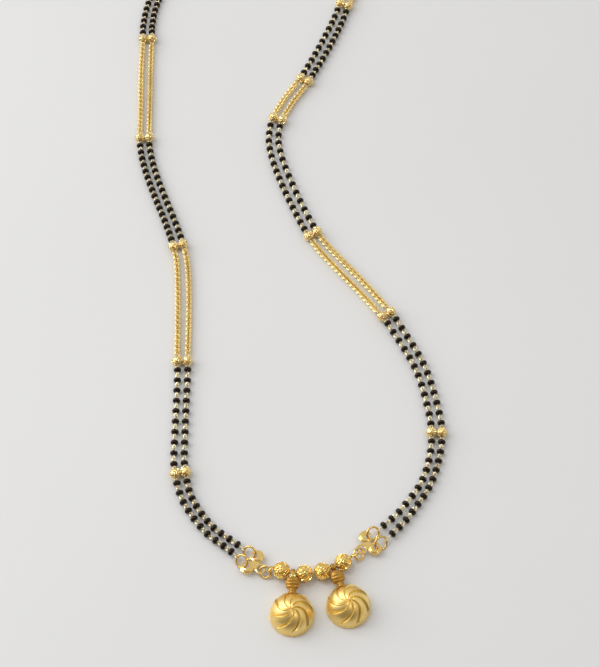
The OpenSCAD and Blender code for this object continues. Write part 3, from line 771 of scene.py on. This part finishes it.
def cut_ball_master(diameter, bore, flats):
    """A diamond-cut ball, drilled along X: small flats all over it, sheaves of narrow cuts side by
    side on some of it, and each flat sunk and dished between its edges."""
    r = diameter / 2
    # How far out the flats, the sheaves and the two ends are cut, as shares of the radius
    flat, ripple, sheaf, end = 0.984, 0.004, 0.974, 0.95
    ball = started(bpy.ops.mesh.primitive_ico_sphere_add, subdivisions=4, radius=r)
    golden = math.pi * (3 - math.sqrt(5))
    cuts = []
    for i in range(flats):
        x = 1 - (2 * i + 1) / flats
        w = math.sqrt(1 - x * x)
        cuts.append((Vector((x, w * math.cos(i * golden), w * math.sin(i * golden))),
                     flat + ripple * math.sin(13 * i)))
    sheaves = [Vector(v) for v in ((0, 1, 0), (0, -1, 0), (0, 0, 1), (0, 0, -1))]
    sheaves += [Vector((x, y, z)).normalized() for x in (-1, 1) for y in (-1, 1) for z in (-1, 1)]
    for k, middle in enumerate(sheaves):
        side = middle.orthogonal().normalized()
        if k % 2:
            side = middle.cross(side)
        for turn in (-16, -8, 0, 8, 16):
            cuts.append((Matrix.Rotation(math.radians(turn), 3, side) @ middle, sheaf))
    cuts += [(Vector((way, 0, 0)), end) for way in (1, -1)]
    edit(ball)
    for normal, share in cuts:
        bpy.ops.mesh.select_all(action="SELECT")
        bpy.ops.mesh.bisect(plane_co=normal * (share * r), plane_no=normal, use_fill=True,
                            clear_outer=True, threshold=1e-5)
    bpy.ops.mesh.select_all(action="SELECT")
    bpy.ops.mesh.dissolve_limited(angle_limit=math.radians(0.6))
    close_edit(ball, outward=True)
    fuse(ball, drum(20, bore / 2, 2 * diameter, "X"), "DIFFERENCE")
    edit(ball, "FACE")
    smallest, widest, border, dish = 0.03, 0.8, 0.04, 0.07
    choose_faces(ball, lambda f: smallest < f.calc_area() < widest
                 and f.normal.dot(f.calc_center_median().normalized()) > 0.8)
    bpy.ops.mesh.inset(thickness=border, depth=-dish, use_individual=True)
    bpy.ops.mesh.poke(offset=-0.8 * dish)
    return close_edit(ball)


def rested(obj):
    """Cuts a placed ball level where it rests."""
    edit(obj, action="SELECT")
    bpy.ops.mesh.bisect(plane_co=(0, 0, 0), plane_no=(0, 0, -1), use_fill=True, clear_outer=True,
                        threshold=1e-5)
    return close_edit(obj)


def wire_arc(mean_r, wire, start, sweep, steps):
    """A round wire bent on an arc in the X-Y plane, from an angle through a sweep, ends closed."""
    a = math.radians(start)
    arc = started(bpy.ops.mesh.primitive_circle_add, vertices=14, radius=wire / 2, fill_type="NGON",
                  location=(mean_r * math.cos(a), mean_r * math.sin(a), 0), rotation=(math.pi / 2, 0, a))
    edit(arc, action="SELECT")
    bpy.ops.mesh.spin(steps=steps, angle=-math.radians(sweep), center=(0, 0, 0), axis=(0, 0, 1),
                      dupli=False)
    bpy.ops.mesh.select_all(action="SELECT")
    bpy.ops.mesh.remove_doubles(threshold=1e-4)
    return close_edit(arc, outward=True)


# Pieces

class NecklaceOperator:
    bl_options = {"REGISTER", "UNDO"}

    def execute(self, context):
        self.make(Lay())
        return {"FINISHED"}


class NECKLACE_OT_black_beads(NecklaceOperator, bpy.types.Operator):
    """Black glass beads, one piece for each string"""
    bl_idname = "necklace.black_beads"
    bl_label = "Black beads"

    def make(self, lay):
        master = bead_master(lay)
        for side in SIDES:
            for i, (first, last) in enumerate(STRINGS):
                beads = []
                for leg in range(first, last + 1):
                    for strand in (0, 1):
                        for k, s in enumerate(lay.bead_run(side, leg, strand)):
                            a = lay.bead_point(side, leg, strand, s - lay.bead_len / 2)
                            b = lay.bead_point(side, leg, strand, s + lay.bead_len / 2)
                            turn = 47 * k + 19 * strand
                            beads.append(placed(master, facing((a + b) / 2, b - a, turn)))
                string = f"{side}_{i + 1}"
                settle(joined(beads), "beads_" + string, "black_glass", "black_beads_" + string, 50)
        drop(master)


class NECKLACE_OT_bead_wires(NecklaceOperator, bpy.types.Operator):
    """Pins through the beads with small eyes that hang in each other"""
    bl_idname = "necklace.bead_wires"
    bl_label = "Eye pins"

    # How far an eye reaches into a bead, how far a pin reaches into an eye as a share of its wire,
    # wire of the eye on a strand's ring, and roll of the last eye
    BITE, PIN_OUT, HANG_WIRE, LAST_ROLL = 0.04, 0.6, 0.34, 20

    def stations(self, lay, side, first, last, strand):
        """Beads and spacer balls of a string in order: leg, running length, half length."""
        rows = [(first, lay.stops[side][first], lay.spacer_half)] if first else []
        for leg in range(first, last + 1):
            if leg > first:
                rows.append((leg, lay.stops[side][leg], lay.spacer_half))
            rows += [(leg, s, lay.bead_len / 2) for s in lay.bead_run(side, leg, strand)]
        return rows + [(last, lay.stops[side][last + 1], lay.spacer_half)]

    def strand(self, lay, side, first, last, strand, masters):
        eye, pin, hang = masters
        pin_out, parts = self.PIN_OUT * lay.eye_wire, []

        def at(leg, s):
            return lay.bead_point(side, leg, strand, s)

        def lay_pin(p, q):
            stretch = Matrix.Diagonal((float(np.linalg.norm(q - p)), 1, 1, 1))
            parts.append(placed(pin, facing(p, q - p) @ stretch))

        def lay_eye(leg, a, b, roll):
            p, q = at(leg, a), at(leg, b)
            stretch = Matrix.Diagonal((abs(b - a) / lay.eye_w, 1, 1, 1))
            parts.append(placed(eye, facing((p + q) / 2, q - p, roll) @ stretch))

        rows = self.stations(lay, side, first, last, strand)
        for k, (leg, s, half) in enumerate(rows):
            lay_pin(at(leg, s - half - pin_out), at(leg, s + half + pin_out))
            if k:
                a, b = rows[k - 1][1] + rows[k - 1][2] - self.BITE, s - half + self.BITE
                long = (b - a) / 2 + lay.eye_wire + SINK
                roll = 45 + 14 * math.sin(2.4 * k + strand)
                lay_eye(leg, a, a + long, roll)
                lay_eye(leg, b - long, b, roll - 90)
        leg, s, half = rows[0]
        if first == 0:
            far = lay.strand_ring_ends(side, strand)[1]
            ahead = at(0, 0) - far
            parts.append(placed(hang, along(far, heading(ahead), lay.across_ring(side))))
            lay_pin(far + unit(ahead) * lay.hang_r, at(0, s - half))
        else:
            lay_eye(leg, s - half + SINK - LAST_EYE, s - half + SINK, self.LAST_ROLL)
        leg, s, half = rows[-1]
        lay_eye(leg, s + half - SINK, s + half - SINK + LAST_EYE, self.LAST_ROLL)
        return parts

    def make(self, lay):
        eye = ring_master((lay.eye_w - lay.eye_wire) / 2, lay.eye_wire)
        pin = drum(6, lay.pin_wire / 2, 1, "X", (0.5, 0, 0))
        hang = ring_master(lay.hang_r, self.HANG_WIRE, 20, 8)
        for side in SIDES:
            for i, (first, last) in enumerate(STRINGS):
                parts = []
                for strand in (0, 1):
                    parts += self.strand(lay, side, first, last, strand, (eye, pin, hang))
                string = f"{side}_{i + 1}"
                settle(joined(parts), "eye_pins_" + string, "pale_gold", "bead_wire_" + string, 60)
        drop(eye, pin, hang)


class NECKLACE_OT_chains(NecklaceOperator, bpy.types.Operator):
    """Round-link chains, every link through the next"""
    bl_idname = "necklace.chains"
    bl_label = "Chains"

    # Distance between the points of a route, length that a hidden chain leaves for its bend to the
    # clasp, radius and wire of its eye there, and distance from the ring's wire to the first link
    STEP, BEND_LEN, CLASP_EYE_R, CLASP_EYE_WIRE, CLASP_REACH = 0.4, 4.2, 0.975, 0.45, 0.55

    def bend(self, lay, side, strand, before, start):
        """Points that lead a hidden chain smoothly to its eye on the clasp's ring."""
        eye = lay.end_eye_place(side, strand)
        out = np.array(eye.to_3x3() @ Vector((1, 0, 0)))
        end = np.array(eye.translation) + out * (self.CLASP_REACH + lay.link_r)
        handle = 0.4 * float(np.linalg.norm(end - start))
        c1, c2 = start + unit(start - before) * handle, end + out * handle
        return [(1 - t) ** 3 * start + 3 * t * (1 - t) ** 2 * c1 + 3 * t * t * (1 - t) * c2 + t ** 3 * end
                for t in np.linspace(0, 1, 12)[1:]]

    def path(self, lay, side, leg, strand):
        """A chain's route with its running length, from the first link's middle to the last's."""
        reach = lay.spacer_half - SINK + LAST_EYE - lay.eye_wire - lay.link_wire / 2 + lay.link_r
        hidden = leg == CHAIN_LEGS[-1]
        a = lay.stops[side][leg] + reach
        b = lay.stops[side][leg + 1] - (self.BEND_LEN if hidden else reach)
        p = [lay.strand_point(side, leg, strand, s, lay.chain_z) for s in [*np.arange(a, b, self.STEP), b]]
        if hidden:
            p += self.bend(lay, side, strand, *p[-2:])
        p = np.array(p)
        p[:, 2] = np.maximum(p[:, 2], lay.chain_z)
        return running(p), p

    def links(self, lay, side, leg, strand, link):
        run, p = self.path(lay, side, leg, strand)
        parts = []

        def at(s):
            return np.array([np.interp(s, run, p[:, k]) for k in range(3)])

        for k, s in enumerate(np.linspace(0, run[-1], round(run[-1] / lay.link_pitch) + 1)):
            ahead = at(min(s + self.STEP, run[-1])) - at(max(s - self.STEP, 0))
            sway = math.sin(s * 0.17 + 2.1 * strand + leg + (side == "left"))
            roll = LINK_ROLL + LINK_SWAY * sway + 90 * (k % 2)
            parts.append(placed(link, facing(at(s), ahead, roll)))
        return parts

    def make(self, lay):
        link = ring_master(lay.link_r, lay.link_wire)
        end_eye = ring_master(self.CLASP_EYE_R, self.CLASP_EYE_WIRE, 20, 8)
        for side in SIDES:
            for i, leg in enumerate(CHAIN_LEGS):
                for strand, word in enumerate(STRANDS):
                    links = self.links(lay, side, leg, strand, link)
                    if leg == CHAIN_LEGS[-1]:
                        place = lay.end_eye_place(side, strand) @ about("X", 90)
                        links.append(placed(end_eye, place))
                    name = f"{side}_{i + 1}_{word}"
                    settle(joined(links), "links_" + name, "chain_gold", "chain_" + name, 60)
        drop(link, end_eye)


class NECKLACE_OT_spacers(NecklaceOperator, bpy.types.Operator):
    """Pairs of cut balls soldered side by side"""
    bl_idname = "necklace.spacers"
    bl_label = "Spacer pairs"

    def make(self, lay):
        ball = cut_ball_master(lay.spacer_d, lay.spacer_bore, 84)
        solder = drum(20, lay.solder_d / 2, lay.strand_gap / 2, "Y")
        for side in SIDES:
            for i in range(1, len(ROUTES[side])):
                at = lay.stops[side][i]
                place = along(lift(lay.on_line(side, at), lay.spacer_z), heading(lay.ahead(side, at)))
                parts = []
                for way in (-1, 1):
                    shift = Matrix.Translation((0, way * lay.strand_gap / 2, 0))
                    parts.append(placed(ball, place @ shift @ about("X", 37 * i + 50 * way)))
                parts.append(placed(solder, place))
                pair = f"{side}_{i}"
                settle(rested(joined(parts)), "cut_pair_" + pair, "spacer_gold", "spacer_" + pair)
        drop(ball, solder)


class NECKLACE_OT_bar_balls(NecklaceOperator, bpy.types.Operator):
    """Four diamond-cut balls on the front bar"""
    bl_idname = "necklace.bar_balls"
    bl_label = "Bar balls"

    def make(self, lay):
        ball = cut_ball_master(lay.ball_d, lay.ball_bore, 130)
        for i, at in enumerate(lay.ball_at):
            place = along(lift(lay.bar_point(at), lay.bar_z), lay.bar_angle(at), 23 + 67 * i)
            settle(rested(placed(ball, place)), f"cut_ball_{i + 1}", "cut_gold", f"bar_ball_{i + 1}")
        drop(ball)


class NECKLACE_OT_bar(NecklaceOperator, bpy.types.Operator):
    """The bent wire of the bar with its end eyes, and the clasp's hook"""
    bl_idname = "necklace.bar"
    bl_label = "Bar and hook"

    def make(self, lay):
        reach = math.degrees(lay.bar_end / BAR_R)
        wire = wire_arc(BAR_R, lay.bar_wire, BAR_DIR - 90 - reach, 2 * reach, 40)
        parts = [placed(wire, Matrix.Translation(Vector(lift(lay.bar_centre, lay.bar_z))))]
        eye = wire_arc(lay.bar_eye_r, lay.bar_wire, 184, 352, 28)
        for side in SIDES:
            place = along(lift(lay.bar_eye(side), lay.bar_z), EYE_DIR[side], lay.eye_tilt(side))
            parts.append(placed(eye, place))
        settle(joined(parts), "bar", "polished_gold", "bar_wire", 50)
        bow = wire_arc(lay.hook_r, lay.hook_wire, 180, 290, 40)
        bows = []
        for direction in (0, 180):
            place = along(lift(np.array(HOOK_MID) - lay.mid, lay.end_z), direction)
            bows.append(placed(bow, place @ Matrix.Translation((lay.hook_r, 0, 0))))
        settle(joined(bows), "clasp_hook", "polished_gold", "hook", 50)
        drop(wire, eye, bow)


class NECKLACE_OT_rings(NecklaceOperator, bpy.types.Operator):
    """Round rings, each bent from wire and closed with a fine seam"""
    bl_idname = "necklace.rings"
    bl_label = "Rings"

    def make(self, lay):
        link = wire_arc(lay.link_ring_r, lay.drawn_wire, 100, 357.5, 44)
        strand_ring = wire_arc(lay.strand_ring_r, lay.drawn_wire, 75, 358, 52)
        end = wire_arc(lay.end_r, lay.end_wire, 95, 358.2, 52)
        for side in SIDES:
            self.lay_ring(link, lay.link_place(side), "link", side)
            self.lay_ring(end, lay.end_ring_place(side), "end", side)
            for strand, word in enumerate(STRANDS):
                hole, far = lay.strand_ring_ends(side, strand)
                tilt = STRAND_TILT * lay.outward(side)
                place = along((hole + far) / 2, heading(far - hole), tilt)
                self.lay_ring(strand_ring, place, "strand", f"{side}_{word}")
        drop(link, strand_ring, end)

    def lay_ring(self, master, place, kind, where):
        settle(placed(master, place), f"ring_{kind}_{where}", "polished_gold", f"{kind}_ring_{where}", 50)


class NECKLACE_OT_connectors(NecklaceOperator, bpy.types.Operator):
    """Plates of two swollen lobes and a stem"""
    bl_idname = "necklace.connectors"
    bl_label = "Connectors"

    def lobe(self, lay, y):
        """A round plate whose upper face swells in steps, a little away from the hole."""
        radius, cap_share, cap_shift, steps = lay.lobe_d / 2, 0.76, 0.2, 6
        disc = drum(56, radius, lay.plate_t, at=(0, y, 0))
        edit(disc, "FACE")
        choose_faces(disc, lambda f: f.normal.z > 0.9)
        bpy.ops.mesh.inset(thickness=radius * (1 - cap_share), depth=0)
        bpy.ops.transform.translate(value=(-cap_shift, 0, 0))
        for k in range(steps):
            a, b = math.pi / 2 * k / steps, math.pi / 2 * (k + 1) / steps
            bpy.ops.mesh.inset(thickness=radius * cap_share * 0.98 * (math.cos(a) - math.cos(b)),
                               depth=lay.cap_h * (math.sin(b) - math.sin(a)))
        return close_edit(disc)

    def web(self, lay):
        """The web from the lobes to the stem: a slab, narrow at the stem and wide at the lobes."""
        reach, waist = lay.stem_reach, 0.36 * lay.stem_d
        web = started(bpy.ops.mesh.primitive_cube_add, size=1, location=(-reach / 2, 0, 0),
                      scale=(reach, 2 * waist, lay.plate_t))
        cut_across(web, 0, reach / 2, 1)
        mesh = edit(web)
        for v in mesh.verts:
            v.select = v.co.x > -reach / 4
        mesh.select_flush_mode()
        bmesh.update_edit_mesh(web.data)
        bpy.ops.transform.resize(value=(1, lay.lobe_gap / 2 / waist, 1), center_override=(0, 0, 0))
        return close_edit(web)

    def make(self, lay):
        plate = fuse(self.lobe(lay, lay.lobe_gap / 2), self.lobe(lay, -lay.lobe_gap / 2))
        fuse(plate, drum(56, lay.stem_d / 2, lay.plate_t, at=(-lay.stem_reach, 0, 0)))
        fuse(plate, self.web(lay))
        holes = [(lay.hole_reach, way * lay.hole_gap / 2, lay.lobe_hole_d) for way in (-1, 1)]
        for x, y, d in holes + [(-lay.stem_reach, 0, lay.stem_hole_d)]:
            fuse(plate, drum(40, d / 2, 3, at=(x, y, 0)), "DIFFERENCE")
        edit(plate, action="SELECT")
        bpy.ops.mesh.remove_doubles(threshold=1e-4)
        close_edit(plate, outward=True)
        bevelled(plate, 0.07, 2, 50)
        for side in SIDES:
            place = along(lift(lay.along_pull(side, 0), lay.plate_z), PLATE_DIR[side])
            settle(placed(plate, place), "plate_" + side, "polished_gold", "connector_" + side, 35)
        drop(plate)


class NECKLACE_OT_pendants(NecklaceOperator, bpy.types.Operator):
    """Hollow fluted domes on ribbed barrels and narrow loops"""
    bl_idname = "necklace.pendants"
    bl_label = "Pendants"

    # Where a flute's field ends, widths of its ridge, its cut and its polished crest as shares of
    # the flute, and the share of the dome above the rim that stays plain
    FALL, RIDGE, CUT, CREST, PLAIN = 0.91, 0.13, 0.055, 0.07, 0.15
    # How far the barrel is tucked under the ball, how far the neck is sunk into the barrel, length
    # of the neck, radius of the barrel's swelling, and gap from the barrel to the rim
    TUCK, NECK_SINK, NECK_LEN, BULGE, RIM_GAP = 0.9, 0.5, 1.75, 2.4, 0.1

    def flute(self, u, t):
        """Height across a flute: a thin ridge, a broad field that falls gently, and a cut that is
        deepest half way down the dome, under a steep rise."""
        cut = 0.95 * math.sin(math.pi * t) ** 1.5 * math.exp(-((u - self.FALL) / self.CUT) ** 2)
        if u < self.FALL:
            ridge = max(0, 1 - u / self.RIDGE) ** 1.5
            return 0.62 * math.cos(math.pi / 2 * u / self.FALL) + 0.38 * ridge - cut
        return math.sin(math.pi / 2 * (u - self.FALL) / (1 - self.FALL)) ** 1.5 - cut

    def fade(self, t):
        if t <= self.PLAIN:
            return 0.0
        return math.sqrt(max(math.sin(math.pi * (t - self.PLAIN) / (1 - self.PLAIN)), 0))

    def dome(self, lay):
        """A hemisphere, cut level, drawn to the dome's height and fluted, with a wall and a rim."""
        r, low = lay.dome_d / 2, lay.rim_h / 2
        base, tall = r - 0.05, lay.dome_h - low
        dome = started(bpy.ops.mesh.primitive_uv_sphere_add, segments=34 * lay.flutes, ring_count=112,
                       radius=1)
        edit(dome, action="SELECT")
        bpy.ops.mesh.bisect(plane_co=(0, 0, 0), plane_no=(0, 0, -1), clear_outer=True, threshold=1e-6)
        close_edit(dome)
        polish = dome.data.attributes.new("polish", "FLOAT", "POINT").data
        for v in dome.data.vertices:
            up = math.asin(max(min(v.co.z, 1), 0))
            t = up / (math.pi / 2)
            a = math.atan2(v.co.y, v.co.x)
            u = (a / (2 * math.pi) * lay.flutes) % 1
            u = 0 if u > 1 - 1e-4 else u
            out = lay.flute_depth * self.fade(t) * self.flute(u, t)
            a -= lay.flute_turn * math.cos(up)
            wide = (base + out) * math.cos(up)
            v.co = (wide * math.cos(a), wide * math.sin(a), low + (tall + out) * math.sin(up))
            # Nearness to a crest: it polishes the crest, and the dome's material paints a highlight there.
            near = max(0, 1 - min(abs(u - 1), u) / self.CREST)
            polish[v.index].value = near * min(self.fade(t) * 1.5, 1)
        modified(dome, "SOLIDIFY", thickness=lay.dome_wall, offset=-1, use_even_offset=False,
                 use_quality_normals=True)
        rim = opened(drum(144, r, lay.rim_h, at=(0, 0, lay.rim_h / 2)), 2, lay.dome_wall + 0.1)
        bevelled(rim, 0.12, 3, 60)
        return joined([dome, rim])

    def barrel(self, lay):
        """A barrel with its axis along X: a drum, its waist swollen and every rib raised."""
        half, r = lay.barrel_len / 2, lay.barrel_d / 2
        barrel = cut_across(drum(8 * lay.ribs, r, 2 * half, "X"), 0, half, 13)
        for v in barrel.data.vertices:
            a = math.atan2(v.co.z, v.co.y)
            swell = r - self.BULGE + math.sqrt(self.BULGE ** 2 - v.co.x ** 2)
            wave = 0.5 + 0.5 * math.cos(lay.ribs * a)
            end = min(1, max(0, (half - 0.1 - abs(v.co.x)) / 0.3))
            rad = swell + RIB_H * end * (min(1, wave * 1.6) - 0.5 * (1 - wave) ** 2)
            v.co.y = rad * math.cos(a)
            v.co.z = rad * math.sin(a)
        return barrel

    def neck(self, lay, start, long):
        """A neck along -Y with three turned rings."""
        neck = cut_across(drum(32, lay.neck_d / 2, long, "Y", (0, start - long / 2, 0)), 1, long / 2, 18)
        for v in neck.data.vertices:
            k = 0.96 + 0.12 * math.sin(3 * math.pi * (start - v.co.y) / long) ** 2
            v.co.x *= k
            v.co.z *= k
        return neck

    def stem(self, lay, reach):
        """The flat stem from the loop to the barrel."""
        long = reach - lay.loop_r - LOOP_T
        stem = started(bpy.ops.mesh.primitive_cube_add, size=1,
                       location=(0, -lay.loop_r - LOOP_T / 2 - long / 2, 0),
                       scale=(lay.loop_w * 0.9, long, LOOP_T * 1.6))
        return bevelled(stem, 0.15, 3, 30)

    def leaf(self):
        """The small dished lozenge on a loop's front."""
        leaf = started(bpy.ops.mesh.primitive_cylinder_add, vertices=4, radius=1, depth=0.35,
                       location=(0, -1.2, 1.05), scale=(1, 1.15, 1))
        edit(leaf, "FACE")
        choose_faces(leaf, lambda f: f.normal.z > 0.9)
        bpy.ops.mesh.inset(thickness=0.25, depth=0)
        bpy.ops.mesh.inset(thickness=0.2, depth=-0.18)
        return bevelled(close_edit(leaf), 0.05, 2, 40)

    def make(self, lay):
        barrel_r = lay.barrel_d / 2
        barrel_z = barrel_r + RIB_H + lay.barrel_lift - lay.bar_z
        barrel_reach = lay.ball_d / 2 + barrel_r - self.TUCK
        neck_start = barrel_reach + barrel_r - self.NECK_SINK
        dome_reach = barrel_reach + barrel_r + self.RIM_GAP + lay.dome_d / 2
        loop = opened(drum(40, lay.loop_r + LOOP_T, lay.loop_w, "X"), 0, LOOP_T)
        bevelled(loop, 0.12, 3, 60)
        stem, leaf, dome = self.stem(lay, barrel_reach), self.leaf(), self.dome(lay)
        barrel, neck = self.barrel(lay), self.neck(lay, -neck_start, self.NECK_LEN)
        for side in SIDES:
            s = lay.loop_at[side]
            place = along(lift(lay.bar_point(s), lay.bar_z), HANG[side])
            bail = [placed(loop, place @ about("Z", lay.bar_angle(s) - HANG[side])),
                    placed(stem, place),
                    placed(barrel, place @ Matrix.Translation((0, -barrel_reach, barrel_z))),
                    placed(neck, place @ Matrix.Translation((0, 0, barrel_z)))]
            # The bail's darkened brown gold is painted shade.
            settle(joined(bail), "bail_" + side, "brown_gold", smooth=35)
            if side == "left":
                settle(placed(leaf, place), "leaf_left", "cut_gold", smooth=35)
            body = placed(dome, place @ Matrix.Translation((0, -dome_reach, -lay.bar_z)))
            settle(body, "dome_" + side, "satin_gold", "pendant_" + side, 40)
        drop(dome, barrel, loop, neck, stem, leaf)


class NECKLACE_OT_stage(NecklaceOperator, bpy.types.Operator):
    """Pale floor, soft lights and the camera at the photograph's angle"""
    bl_idname = "necklace.stage"
    bl_label = "Stage"

    def light(self, name, at, size, watts, target):
        """A square white light that looks at a point."""
        data = bpy.data.lights.new(name, "AREA")
        data.size = size
        data.energy = watts
        lamp = bpy.data.objects.new(name, data)
        bpy.context.scene.collection.objects.link(lamp)
        lamp.location = at
        lamp.rotation_euler = (Vector(target) - Vector(at)).to_track_quat("-Z", "Y").to_euler()

    def sky(self, world):
        """A studio that is bright behind and above the necklace, and darker and warmer in front."""
        front, behind = -0.75, 0.15
        warm, white = (1, 0.86, 0.64, 1), (0.98, 0.985, 1, 1)
        n = Nodes(world, "Background", "Generated")
        y = n.fed(n.add("ShaderNodeSeparateXYZ"), Vector=n.where).outputs["Y"]
        n.to("Strength", n.spread(y, front, behind, 0.2, 0.72))
        n.to("Color", n.blend(n.spread(y, front, behind, 0, 1), warm, white, "RGBA"))

    def make(self, lay):
        scene, s = bpy.context.scene, settings().stage
        surface = started(bpy.ops.mesh.primitive_plane_add, size=s.floor_w)
        surface.name = surface.data.name = "floor"
        surface.data.materials.append(finish_of("floor"))
        scene.world = bpy.data.worlds.new("studio")
        self.sky(scene.world)
        middle = Vector((*-lay.mid * MM, 0))
        self.light("key", (-0.9, 0.22, 0.58), 1, s.key_power, middle)
        self.light("small_key", (-0.3, 0.1, 0.85), 0.09, s.small_power, middle)
        self.light("small_fill", (0.42, -0.2, 0.7), 0.07, s.small_power / 2, middle)
        data = bpy.data.cameras.new("camera")
        focal_px, picture_px = 1468, 667
        data.sensor_width = 36
        data.lens = focal_px / picture_px * data.sensor_width
        data.clip_start, data.clip_end = 0.01, 10
        camera = bpy.data.objects.new("camera", data)
        scene.collection.objects.link(camera)
        camera.location = middle + Vector((0, -math.sin(s.tilt), math.cos(s.tilt))) * s.distance
        camera.rotation_euler = (s.tilt, 0, 0)
        scene.camera = camera
        scene.view_settings.view_transform = "Standard"


class NECKLACE_PT_sidebar(bpy.types.Panel):
    """Pieces of the necklace and their settings"""
    bl_idname = "NECKLACE_PT_sidebar"
    bl_label = "Mangalsutra"
    bl_space_type = "VIEW_3D"
    bl_region_type = "UI"
    bl_category = "Mangalsutra"

    def draw(self, context):
        for group in NecklaceSettings.__annotations__:
            box = self.layout.box()
            box.label(text=group.title())
            values = getattr(context.scene.mangalsutra, group)
            for key in type(values).__annotations__:
                box.prop(values, key)
        for maker in MAKERS:
            self.layout.operator(maker.bl_idname)


MAKERS = (NECKLACE_OT_stage, NECKLACE_OT_pendants, NECKLACE_OT_bar_balls, NECKLACE_OT_bar,
          NECKLACE_OT_rings, NECKLACE_OT_connectors, NECKLACE_OT_black_beads, NECKLACE_OT_bead_wires,
          NECKLACE_OT_chains, NECKLACE_OT_spacers)
CLASSES = (BeadSettings, StrandSettings, BarSettings, RingSettings, PendantSettings, ToneSettings,
           StageSettings, NecklaceSettings) + MAKERS + (NECKLACE_PT_sidebar,)


def register():
    for c in CLASSES:
        bpy.utils.register_class(c)
    bpy.types.Scene.mangalsutra = bpy.props.PointerProperty(type=NecklaceSettings)


def unregister():
    del bpy.types.Scene.mangalsutra
    for c in reversed(CLASSES):
        bpy.utils.unregister_class(c)


def main():
    register()
    bpy.ops.necklace.stage()
    bpy.ops.necklace.pendants()
    bpy.ops.necklace.bar_balls()
    bpy.ops.necklace.bar()
    bpy.ops.necklace.rings()
    bpy.ops.necklace.connectors()
    bpy.ops.necklace.black_beads()
    bpy.ops.necklace.bead_wires()
    bpy.ops.necklace.chains()
    bpy.ops.necklace.spacers()


if __name__ == "__main__":
    main()
